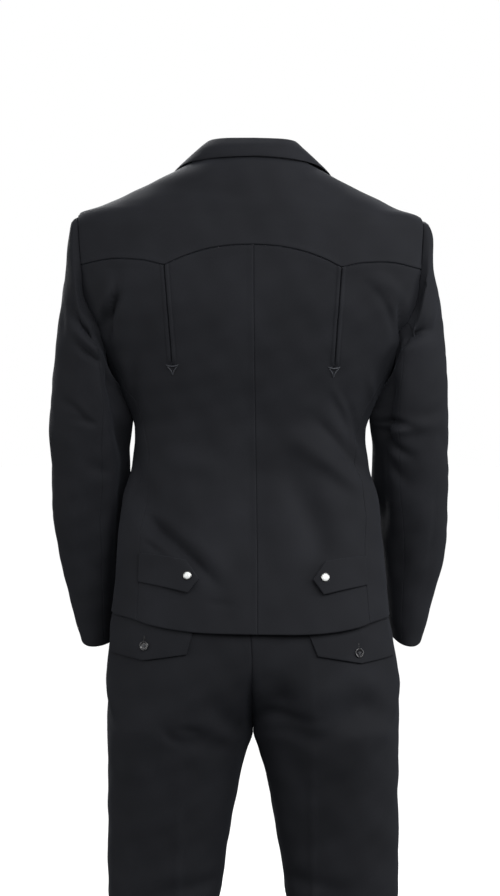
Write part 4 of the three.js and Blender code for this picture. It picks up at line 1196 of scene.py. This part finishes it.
def lap_lift(side):
    """Lift of the left front where it laps over the right, as a function of points."""

    def lift(points):
        x, y = points[..., 0] * side, points[..., 1]
        return np.where((side > 0) & (y < 0), LAP * smooth((95 - x) / 75), 0)

    return lift


def lapel_pieces():
    """Lapels: each rolls out of the front's edge and lies back on it."""
    down, across = grid(edged(330, 4.0), edged(70, 2.4))
    for hand, side in SIDES:
        length, width = LAPEL_SHARE[side]
        end = mix(np.array(fold_top), np.array(fold_foot), length)
        fold = seam((NOTCH[0], tuple(end)), True)
        edge = seam(mix(np.array(NOTCH[2]), np.array(LAPEL_EDGE), np.array([width, length])), True)
        foot = straight(fold(1.0), edge(1.0))
        places = fill(seam(NOTCH, True), foot, fold, edge, down, across)
        left = border_distances(jacket(places, side))[2]
        panel(
            f"lapel_{hand}", jacket, places, side, (0.6, 0.5, 0.0, 0.7), creases={},
            lift=lambda points, side=side: 2 * LAID + CLOTH + lap_lift(side)(points),
            relief=2.2 * bell((left - 7) / 7) - 2.4 * (1 - smooth(left / 4)),
            on=[f"front_{hand}"], held="folded",
        )


def along_spline(knots, t):
    """Smooth line through rows of points: a cubic between neighbours with the slope of the
    rows on either side of each."""
    last = len(knots) - 1
    place = np.clip(t, 0, 1) * last
    i = np.clip(place.astype(int), 0, last - 1)
    u = (place - i)[:, None, None]
    before, after = knots[np.maximum(i - 1, 0)], knots[np.minimum(i + 2, last)]
    start, end = knots[i], knots[i + 1]
    from_slope, to_slope = (end - before) / 2, (after - start) / 2
    ends = start * (1 + 2 * u) * (1 - u) ** 2 + end * u * u * (3 - 2 * u)
    return ends + from_slope * u * (1 - u) ** 2 - to_slope * u * u * (1 - u)


def level(turn):
    """Level directions at turns in degrees from the back."""
    turn = np.radians(turn)
    return np.stack([np.sin(turn), np.cos(turn), 0 * turn], -1)


def collar_piece():
    """Collar in one: the stand rises from the neck seam, rolls over at the fold, and the fall
    comes down on the yoke, with its front ends pressed on the fronts."""
    round_neck = edged(2, 0.016, 0.006, 0.02) * 2 - 1
    turn = np.abs(round_neck) * COLLAR["turn"][-1]
    part = np.abs(round_neck) * STAND_TURN
    low = NECK - 14 * smooth((part - 80) / 45)
    foot = ring_point(torso_ring, np.radians(part), low) + (0, 0, 1.6)
    fold, part_fold = (np.stack([collar_at[axis](at) for axis in "xyz"], -1) for at in (turn, part))

    def neck(places, side):
        return ring_point(torso_ring, *np.moveaxis(places, -1, 0))

    rim = np.stack([np.radians(collar_at["edge_turn"](turn)), collar_at["edge_z"](turn)], -1)
    edge = neck(rim, 1) + outward(neck, rim, 1) * 3.4
    swell = unit(level(turn) + (0, 0, 0.6)) * (1 - 0.45 * smooth((turn - 50) / 40))[:, None]
    knots = np.stack(
        [
            foot - level(part) * 1.2,
            mix(foot, part_fold, 0.5) - level(part) * 2.4,
            mix(foot, part_fold, 0.9) - level(part) * 2.6,
            mix(part_fold, fold, 0.6) + (0, 0, 1.7),
            mix(fold, edge, 0.16) + swell * 3.6,
            mix(fold, edge, 0.5) + swell * 5.6,
            mix(fold, edge, 0.82) + swell * 3.4,
            edge,
        ]
    )
    points = along_spline(knots, spread(1, 0.022, (0.42, 0.12, 0.012), (1, 0.04, 0.008)))
    x, y, z = np.moveaxis(points, -1, 0)
    x = x * np.where(round_neck < 0, 1.0, -1.0)
    share = np.clip(x / torso_ring["wide"](z), -1, 1)
    points = np.stack([x - 2 + jacket_sway(share, z), y, z + LEAN * x], -1)
    normal = unit(np.cross(np.gradient(points, axis=0), np.gradient(points, axis=1)))
    fallen = smooth((np.linspace(0, 1, len(points))[:, None] - 0.6) / 0.3) * smooth((turn - 112) / 24)
    sink = turned_in(border_distances(points), (0, 0.6, 0.5, 0.5), 1.8) + 2.4 * fallen
    points = points - normal * sink[..., None]
    sew("collar", points, normal, ["collar_fall", "collar_stand"], on=["yoke"], held="folded")


# ---------- sleeves
RING_WAY = np.concatenate([[0], np.cumsum(-np.diff(SLEEVE["out_z"]))])


def sleeve_pieces():
    """Two-piece sleeves. The head is roped: it stands up a little beside the armhole seam. The
    inner side fills out under the arm, where it meets the body."""
    armhole_line.cache_clear()
    ring = np.interp(edged(RING_WAY[-1], 4.2) * RING_WAY[-1], RING_WAY, SLEEVE["ring"])
    for hand, side in SIDES:

        def steer(points, out):
            seat_out = on_armhole(side, places[..., 0], 2)
            return mix(seat_out, out, smooth(border_distances(points)[0] / 10)[..., None])

        for name, start, end, length in (
            ("under", HIND_SEAM, FORE_SEAM, 130),
            ("top", FORE_SEAM, HIND_SEAM + PLACES, 250),
        ):
            down, across = grid(ring, mix(start, end, edged(length, 4.4)))
            places = np.stack([across, down], -1)
            points = sleeve(places, side)
            far = border_distances(points)[0]
            roped = ROPED * bell((far - 5) / 5) if name == "top" else 0
            above = points[..., 2] - FULL_Z
            reach = np.where(above > 0, FULL_ABOVE, FULL_BELOW)
            full = FULL * bell(past_place(across, FULL_PLACE) / 2) * bell(above / reach)
            panel(
                f"sleeve_{name}_{hand}", sleeve, places, side, (0.6, 0.8, 0.35, 0.35),
                relief=roped + full, hold=smooth(far / 9), steer=steer,
                on=["yoke", f"front_{hand}"],
            )


# ---------- laid pieces
def tab_pieces():
    """Waist tabs: two layers turned out at a point, laid on the back from the side seam."""
    tip = join((seam((TAB_TOP[2], TAB_POINT)), 2), (seam((TAB_POINT, TAB_FOOT[2])), 2))
    base = seam((TAB_TOP[0], TAB_FOOT[0]))
    down_across = grid(edged(50, 1.6, 0.4, 1.6), edged(72, 1.6, 0.4, 1.6))
    places = fill(seam(TAB_TOP), seam(TAB_FOOT), base, tip, *down_across)
    for hand, side in SIDES:
        stand = TAB_STAND * smooth(border_distances(jacket(places, side))[2] / 60)
        panel(
            f"tab_{hand}", jacket, places, side, (0.9, 0.9, 0.9, 0.9),
            lift=LAID + TAB_LIFT, relief=stand, hold=0.3, on=[f"back_{hand}"], held="laid",
            wall=DOUBLED,
        )


def flap_rim(t):
    """Lower edge of a pocket flap: a shallow point at its middle."""
    return mix(FLAP["foot"], FLAP["point"], (1 - np.abs(2 * t - 1)) ** FLAP["bend"])


def pocket_flap_pieces():
    """Back pocket flaps, slanting at the inner end and standing up a little at the foot."""
    down, across = grid(edged(54, 1.8, 0.4, 1.6), edged(118, 1.8, 0.4, 1.6))
    share = mix(FLAP["from"] + FLAP["slant"] * down, FLAP["to"], across)
    places = np.stack([share, mix(FLAP["top"], flap_rim(across), down)], -1)
    for hand, side in SIDES:
        stand = FLAP_STAND * smooth(1 - border_distances(trouser_back(places, side))[1] / 40)
        panel(
            f"pocket_flap_{hand}", trouser_back, places, side, (0.5, 0.9, 0.9, 0.9),
            lift=LAID + FLAP_LIFT, relief=stand, on=[f"trouser_back_{hand}"], held="laid",
            wall=DOUBLED,
        )


# ---------- trousers
def trouser_pieces():
    """Trouser backs and fronts, from the waistband to the hem."""
    top = WAIST - BAND
    heights = mix(top, TROUSER_HEM, edged(top - TROUSER_HEM, 5.0))
    down, across = grid(heights, edged(245, 4.2))
    places = np.stack([across, down], -1)
    for hand, side in SIDES:
        for name, surface, centre in (("back", trouser_back, 0), ("front", trouser_front, -1)):
            panel(
                f"trouser_{name}_{hand}", surface, places, side, (1.0, 0.8, 1.3, 1.3),
                steer=from_centre(centre, 14, CROTCH - 4), tuck=1.6, on=[f"waistband_{hand}"],
            )


def waistband_pieces():
    """Halves of the waistband, each from the centre back to the centre front."""
    down, across = grid(mix(WAIST, WAIST - BAND, edged(BAND, 4.0)), edged(420, 5.0) * 2)
    places = np.stack([across, down], -1)
    for hand, side in SIDES:
        sinks = (0.7, 1.0, 1.0, 0.8)
        panel(f"waistband_{hand}", waist_round, places, side, sinks, held="stretched")


def fly_piece():
    """Fly facing laid on the left front, curved in at its foot."""
    down, across = grid(edged(156, 3.0), edged(56, 2.6))
    reach = FLY["wide"] * np.sqrt(1 - (FLY["curve"] * down) ** FLY["bend"])
    places = np.stack([1 - reach * across, mix(WAIST - BAND - 1, FLY["foot"], down)], -1)
    panel(
        "fly", trouser_front, places, 1, (0.5, 0.7, 0.6, 0.7), lift=FLY["lift"] + 1.2,
        nodes=["fly_flap"], on=["trouser_front_left"], held="laid", wall=1.2,
    )


# ---------- buttons, snaps and thread
def seat_of(node, surface, place, side, lift, creases=None):
    """Seat of a small part on the creased cloth: the place of its node, moved in or out to lie
    at a height above the cloth, and its own right, up and out ways."""
    low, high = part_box(node)
    middle = (np.array(low) + np.array(high)) / 2 / MM
    (base,), (out,), (height,) = skin(surface, np.array([place], float), side, creases)
    right = unit(np.cross((0, 0, 1.0), out))
    centre = middle + out * (height + lift - (middle - base) @ out)
    return centre, right, np.cross(out, right), out


def placed(local, seat):
    """Local points, across, up and out in mm, on a seat."""
    centre, right, up, out = seat
    return centre + local[..., :1] * right + local[..., 1:2] * up + local[..., 2:] * out


def revolved(profile, around=64, hollow=None):
    """Closed solid of revolution from rows of radius and height, and its grid faces. hollow
    lowers points by their own across and up."""
    turn = np.linspace(0, 2 * np.pi, around, endpoint=False)
    radius, height = np.array(profile, float).T
    x = radius[:, None] * np.cos(turn)
    y = radius[:, None] * np.sin(turn)
    z = height[:, None] + 0 * x
    if hollow is not None:
        z = z - hollow(x, y) * (np.arange(len(profile)) < len(profile) * 0.6)[:, None]
    return np.stack([x, y, z], -1), grid_faces(len(profile), around, closed=True)


def tube(path, radius, around=8):
    """Round thread along points, drawn to nothing at its ends."""
    way = unit(np.gradient(path, axis=0))
    side = unit(np.cross(way, (0.31, 0.17, 0.93)))
    over = np.cross(way, side)
    turn = np.linspace(0, 2 * np.pi, around, endpoint=False)[None, :, None]
    thick = radius * np.sqrt(np.clip(1 - np.linspace(-1, 1, len(path)) ** 8, 0.0, 1))
    ring = side[:, None] * np.cos(turn) + over[:, None] * np.sin(turn)
    return path[:, None] + ring * thick[:, None, None], grid_faces(len(path), around, closed=True)


def solid_piece(name, parts, material, nodes=()):
    """One piece from several (points, faces) parts, its doubles merged and faces outward."""
    points, faces, count = [], [], 0
    for part, quads in parts:
        points.append(part.reshape(-1, 3))
        faces.append(quads + count)
        count += len(points[-1])
    piece = as_object(name, np.concatenate(points), np.concatenate(faces))
    weld(piece)
    finish_piece(piece, material, nodes)


def weld(piece):
    """Merges a closed mesh's doubles and turns its faces outward."""
    mesh = bmesh.new()
    mesh.from_mesh(piece.data)
    bmesh.ops.remove_doubles(mesh, verts=mesh.verts, dist=0.00001)
    bmesh.ops.dissolve_degenerate(mesh, edges=mesh.edges, dist=0.000005)
    bmesh.ops.recalc_face_normals(mesh, faces=mesh.faces)
    mesh.to_mesh(piece.data)
    mesh.free()
    piece.data.polygons.foreach_set("use_smooth", np.ones(len(piece.data.polygons), bool))


def button_profile(radius, thick):
    """From the middle of the top, over a raised rim and by a half circle round its edge, to the
    middle of the underside, as shares of its radius and thickness."""
    well = [(0.62 * t, -0.28) for t in np.linspace(0, 1, 34)]
    rim = [(mix(0.62, 0.8, t), -0.28 + 0.42 * smooth(t)) for t in np.linspace(0.1, 1, 8)]
    side = [(0.86 + 0.14 * np.sin(a), -0.16 + 0.32 * np.cos(a)) for a in np.linspace(0, np.pi, 14)]
    under = [(0.8 * (1 - t), -0.5) for t in np.linspace(0, 1, 6)]
    return np.array(well + rim + side + under) * (radius, thick)


# Radius and thickness of the buttons.
FRONT_BUTTON = (10, 3.0)
WAIST_BUTTON = (7.5, 2.6)
POCKET_BUTTON = (6.5, 2.4)


def button_pieces(node, seat, radius, thick):
    """Four-hole button with a raised rim and two crossed stitches of twist."""
    off, hole = radius / 4.2, radius / 7

    def holes(x, y):
        gap = np.hypot(np.abs(x) - off, np.abs(y) - off)
        return 0.5 * thick * smooth((hole - gap) / (hole * 0.35) + 0.5)

    points, faces = revolved(button_profile(radius, thick), 72, holes)
    solid_piece(f"{node}_horn", [(placed(points, seat), faces)], horn(), [node])
    threads, t = [], np.linspace(-1, 1, 15)
    bow = 0.22 * thick * np.sqrt(1 - np.abs(t) ** 2.5) - 0.25 * thick
    for way in (1, -1):
        for shift in (-0.2, 0.2):
            line = np.stack([off * t + shift, off * way * t - way * shift, bow], -1)
            threads.append(tube(placed(line, seat), 0.3))
    solid_piece(f"{node}_stitches", threads, charcoal_silk())


def snap_pieces():
    """Pearl snaps: a domed cap held in a turned-over prong ring, on a flat socket."""
    arc, bead = np.linspace(0, np.pi / 2, 16), np.linspace(0, 2 * np.pi, 17)
    dome = [*zip(4.5 * np.sin(arc), 0.1 + 1.5 * np.cos(arc)), (4.5, -0.6), (0, -0.6)]
    ring = [*zip(5.0 + 0.75 * np.cos(bead), -0.1 + 0.7 * np.sin(bead))]
    socket = [(0, -1.4), (5.2, -1.4), (5.5, -0.9), (5.2, -0.6), (0, -0.6)]
    for hand, side in SIDES:
        node = f"tab_snap_{hand}"
        seat = seat_of(node, jacket, (turn_at(SNAP[hand], SNAP["z"]), SNAP["z"]), side, 6.3)
        parts = []
        for profile, around in ((dome, 64), (ring, 96), (socket, 96)):
            points, faces = revolved(profile, around)
            parts.append((placed(points, seat), faces))
        solid_piece(f"snap_cap_{hand}", parts[:1], pearl(), [node])
        solid_piece(f"snap_ring_{hand}", parts[1:], nickel())


def arrowhead_pieces():
    """Arrowhead tacks in satin stitch: a sagging bar across the foot of the pleat, and two
    arms that curve in from its ends to a stem, round a small open middle. An arm's reach
    falls as (1 - t)^2.2 on its way down."""
    t = np.linspace(0, 1, 17)
    rise = np.sin(np.pi * t) ** 0.5
    strands = []
    for k in range(3):
        sag = 5.9 - 0.45 * k - 1.7 * np.sin(np.pi * t)
        strands.append((mix(-9.2, 9.2, t) * (1 - 0.05 * k), sag, 0.1 + 0.7 * rise, 0.34))
    for k in range(2):
        for way in (-1, 1):
            reach = way * (0.35 + 0.3 * k + (6.9 - 0.9 * k) * (1 - t) ** 2.2)
            fall = mix(3.9 - 0.5 * k, -9.2 + 2.4 * k, t**0.9)
            strands.append((reach, fall, 0.1 + 0.6 * rise, 0.32))
    for hand, side in SIDES:
        node = f"arrowhead_{hand}"
        seat = seat_of(node, jacket, (turn_at(*ARROW), ARROW[1]), side, 0.1)
        parts = [tube(placed(np.stack(line, -1), seat), radius) for *line, radius in strands]
        solid_piece(f"{node}_twist", parts, charcoal_silk(), [node])


def buttonhole(name, seat, length, wide):
    """Upright buttonhole: a narrow loop of close stitches round a slot, as a line through
    (wide/2 cos a, length/2 sin a) with its sides drawn straight."""
    turn = np.linspace(0, 2 * np.pi, 65)
    across = wide / 2 * squared(np.cos(turn), 0.35)
    line = np.stack([across, length / 2 * np.sin(turn), 0 * turn], -1)
    # the loop's twist is painted shade, darker than the cloth, standing in for the shadow of the slot
    solid_piece(name, [tube(placed(line, seat), 0.35)], slot_shade_silk())


def front_button_pieces():
    """Two front buttons of the jacket and the button of the waistband."""
    for name, z in (("upper", BUTTON_Z - 4), ("lower", BUTTON_Z - 119)):
        node = f"front_button_{name}"
        button_pieces(node, seat_of(node, jacket, (np.pi, z), 1, LAP + 1.9), *FRONT_BUTTON)
    place = (0.955, WAIST - BAND / 2)
    seat = seat_of("waist_button", trouser_front, place, 1, 1.7, creases={})
    button_pieces("waist_button", seat, *WAIST_BUTTON)


def pocket_button_pieces():
    """Buttons of the back pocket flaps, under their upright buttonholes."""
    for hand, side in SIDES:
        node = f"pocket_button_{hand}"
        seat = seat_of(node, trouser_back, (FLAP_BUTTON["share"], FLAP_BUTTON[hand]), side, 4.7)
        button_pieces(node, seat, *POCKET_BUTTON)
        middle, right, up, out = seat
        hole_seat = (middle + up * POCKET_BUTTON[0] - out * 1.35, right, up, out)
        buttonhole(f"pocket_buttonhole_{hand}", hole_seat, 2 * POCKET_BUTTON[0], 1.6)


# ---------- settings
class SuitSettings(bpy.types.PropertyGroup):
    """Sizes and colours of the suit's cloth."""

    cloth_colour: FloatVectorProperty(
        name="Cloth colour", description="Colour of the worsted twill",
        default=colour("#1b1c20")[:3], min=0, max=1, subtype="COLOR",
    )
    rib: FloatProperty(
        name="Rib spacing", description="Distance between the ribs of the twill as drawn",
        default=0.0014, min=0.0003, max=0.01, unit="LENGTH",
    )
    sheen: FloatProperty(
        name="Bloom", description="Strength of the pale bloom on cloth that turns from the eye",
        default=0.04, min=0, max=1, subtype="FACTOR",
    )
    crease_depth: FloatProperty(
        name="Crease depth", description="Depth of the placed creases against their own sizes",
        default=1.0, min=0, max=2, subtype="FACTOR",
    )


class StageSettings(bpy.types.PropertyGroup):
    """Colours and strengths of the stage."""

    floor_colour: FloatVectorProperty(
        name="Floor colour", description="Colour of the floor's paint",
        default=colour("#fafafa")[:3], min=0, max=1, subtype="COLOR",
    )
    key: FloatProperty(
        name="Key light", description="Strength of the soft lights on the right of the back",
        default=1.0, min=0, max=20,
    )
    fill: FloatProperty(
        name="Fill light", description="Strength of the other lights and of the room",
        default=1.0, min=0, max=20,
    )


# ---------- stage
def add_floor():
    """Round floor just under the hems, wide enough to reach the horizon from every side."""
    level = CAD_BOX[0].z - FLOOR_GAP
    radius = np.array(FLOOR_RINGS) / MM
    turn = np.linspace(0, 2 * np.pi, FLOOR_SIDES, endpoint=False)
    x, y = radius[:, None] * np.cos(turn), radius[:, None] * np.sin(turn)
    points = np.stack([x, y, 0 * x + level / MM], -1)
    floor = as_object("floor", points.reshape(-1, 3), grid_faces(len(radius), FLOOR_SIDES, closed=True))
    weld(floor)
    floor.data.materials.append(floor_paint())
    floor.visible_diffuse = False
    floor.visible_glossy = False


def add_world():
    """White room to look at, which itself lights the cloth only a little."""
    world = bpy.data.worlds.new("pale room")
    bpy.context.scene.world = world
    world.use_nodes = True
    tree = world.node_tree
    tree.nodes.clear()
    dim = 0.06 * bpy.context.scene.suit_stage.fill
    white = colour("#ffffff")
    light = add(tree, "Background", {"Color": white, "Strength": dim})
    seen = add(tree, "Background", {"Color": white, "Strength": 1.0})
    camera = add(tree, "LightPath", out="Is Camera Ray")
    add(tree, "OutputWorld", {"Surface": add(tree, "MixShader", {0: camera, 1: light, 2: seen})})


def add_soft_light(name, place, size, power):
    """Square soft light facing the middle of the suit, unseen itself."""
    data = bpy.data.lights.new(name, "AREA")
    data.shape = "SQUARE"
    data.size = size
    data.energy = power
    lamp = in_scene(name, data)
    away = unit(np.array(place) - AIM)
    right = unit(np.cross((0, 0, 1.0), away))
    ways = np.column_stack([right, np.cross(away, right), away, place])
    lamp.matrix_world = Matrix(np.vstack([ways, (0, 0, 0, 1)]))
    lamp.visible_camera = False


def add_lights():
    """Soft lights round the suit: the strongest from the right of the back, high and beside it,
    a level one behind it, and weaker ones from above, the left and the front."""
    props = bpy.context.scene.suit_stage
    for name, place, size, power in (
        ("key light", (-1.5, 1.9, 1.0), 1.6, 48 * props.key),
        ("right light", (-3.0, 0.5, 0.3), 1.6, 48 * props.key),
        ("level light", (-0.2, 2.5, 0.4), 1.4, 29 * props.fill),
        ("top light", (-0.5, 0.25, 2.6), 1.6, 18 * props.fill),
        ("left light", (2.2, 2.2, 0.0), 1.6, 14 * props.fill),
        ("left side light", (3.0, 0.5, -0.3), 1.6, 26 * props.fill),
        ("front light", (0.7, -3.0, 1.3), 2.4, 150 * props.fill),
    ):
        add_soft_light(name, place, size, power)
    sun = bpy.data.lights.new("floor light", "SUN")
    sun.energy = 3.4
    sun.angle = 1.2
    only_floor = bpy.data.collections.new("lit floor")
    only_floor.objects.link(bpy.data.objects["floor"])
    in_scene("floor light", sun).light_linking.receiver_collection = only_floor


def add_camera():
    """Long-lensed camera behind the suit, level with the waist."""
    data = bpy.data.cameras.new("camera")
    data.sensor_width = 36
    data.lens = 134
    data.clip_end = 500
    camera = in_scene("camera", data)
    camera.location = [place * MM for place in VIEW]
    camera.rotation_euler = (np.pi / 2, 0, np.pi)
    bpy.context.scene.camera = camera
    bpy.context.scene.view_settings.view_transform = "Standard"


# ---------- operators
class SUIT_OT_stage(bpy.types.Operator):
    """Floor, room, lights and camera"""

    bl_idname = "suit.stage"
    bl_label = "Stage"

    def execute(self, context):
        add_floor()
        add_world()
        add_lights()
        add_camera()
        return {"FINISHED"}


class SUIT_OT_yoke(bpy.types.Operator):
    """Scalloped back yoke"""

    bl_idname = "suit.yoke"
    bl_label = "Back yoke"

    def execute(self, context):
        yoke_piece()
        return {"FINISHED"}


class SUIT_OT_backs(bpy.types.Operator):
    """Two backs with their pleats"""

    bl_idname = "suit.backs"
    bl_label = "Backs"

    def execute(self, context):
        back_pieces()
        return {"FINISHED"}


class SUIT_OT_fronts(bpy.types.Operator):
    """Side panels and fronts of the jacket"""

    bl_idname = "suit.fronts"
    bl_label = "Sides and fronts"

    def execute(self, context):
        side_and_front_pieces()
        return {"FINISHED"}


class SUIT_OT_collar(bpy.types.Operator):
    """Collar in one with its stand, and the two lapels"""

    bl_idname = "suit.collar"
    bl_label = "Collar and lapels"

    def execute(self, context):
        collar_piece()
        lapel_pieces()
        return {"FINISHED"}


class SUIT_OT_sleeves(bpy.types.Operator):
    """Two-piece sleeves"""

    bl_idname = "suit.sleeves"
    bl_label = "Sleeves"

    def execute(self, context):
        sleeve_pieces()
        return {"FINISHED"}


class SUIT_OT_waistbands(bpy.types.Operator):
    """Two halves of the trouser waistband"""

    bl_idname = "suit.waistbands"
    bl_label = "Waistbands"

    def execute(self, context):
        waistband_pieces()
        return {"FINISHED"}


class SUIT_OT_trousers(bpy.types.Operator):
    """Trouser backs, fronts and fly"""

    bl_idname = "suit.trousers"
    bl_label = "Trousers"

    def execute(self, context):
        trouser_pieces()
        fly_piece()
        return {"FINISHED"}


class SUIT_OT_tabs(bpy.types.Operator):
    """Waist tabs of the jacket and back pocket flaps"""

    bl_idname = "suit.tabs"
    bl_label = "Tabs and pocket flaps"

    def execute(self, context):
        tab_pieces()
        pocket_flap_pieces()
        return {"FINISHED"}


class SUIT_OT_snaps(bpy.types.Operator):
    """Pearl snaps of the waist tabs"""

    bl_idname = "suit.snaps"
    bl_label = "Snaps"

    def execute(self, context):
        snap_pieces()
        return {"FINISHED"}


class SUIT_OT_buttons(bpy.types.Operator):
    """Front, waist and pocket buttons"""

    bl_idname = "suit.buttons"
    bl_label = "Buttons"

    def execute(self, context):
        front_button_pieces()
        pocket_button_pieces()
        return {"FINISHED"}


class SUIT_OT_arrowheads(bpy.types.Operator):
    """Arrowhead tacks at the feet of the pleats"""

    bl_idname = "suit.arrowheads"
    bl_label = "Arrowheads"

    def execute(self, context):
        arrowhead_pieces()
        return {"FINISHED"}


OPERATORS = (
    SUIT_OT_stage, SUIT_OT_yoke, SUIT_OT_backs, SUIT_OT_fronts, SUIT_OT_collar,
    SUIT_OT_sleeves, SUIT_OT_waistbands, SUIT_OT_trousers, SUIT_OT_tabs,
    SUIT_OT_snaps, SUIT_OT_buttons, SUIT_OT_arrowheads,
)


class SUIT_PT_panel(bpy.types.Panel):
    """Lists the suit's settings and pieces."""

    bl_label = "Western Suit"
    bl_idname = "SUIT_PT_panel"
    bl_space_type = "VIEW_3D"
    bl_region_type = "UI"
    bl_category = "Western Suit"

    def draw(self, context):
        for group in (context.scene.western_suit, context.scene.suit_stage):
            for name in group.__annotations__:
                self.layout.prop(group, name)
        for operator in OPERATORS:
            self.layout.operator(operator.bl_idname)


CLASSES = (SuitSettings, StageSettings, *OPERATORS, SUIT_PT_panel)


def register():
    for cls in CLASSES:
        bpy.utils.register_class(cls)
    bpy.types.Scene.western_suit = PointerProperty(type=SuitSettings)
    bpy.types.Scene.suit_stage = PointerProperty(type=StageSettings)


def unregister():
    del bpy.types.Scene.suit_stage
    del bpy.types.Scene.western_suit
    for cls in reversed(CLASSES):
        bpy.utils.unregister_class(cls)


def main():
    register()
    for operator in OPERATORS:
        getattr(bpy.ops.suit, operator.bl_idname.split(".")[1])()


if __name__ == "__main__":
    main()
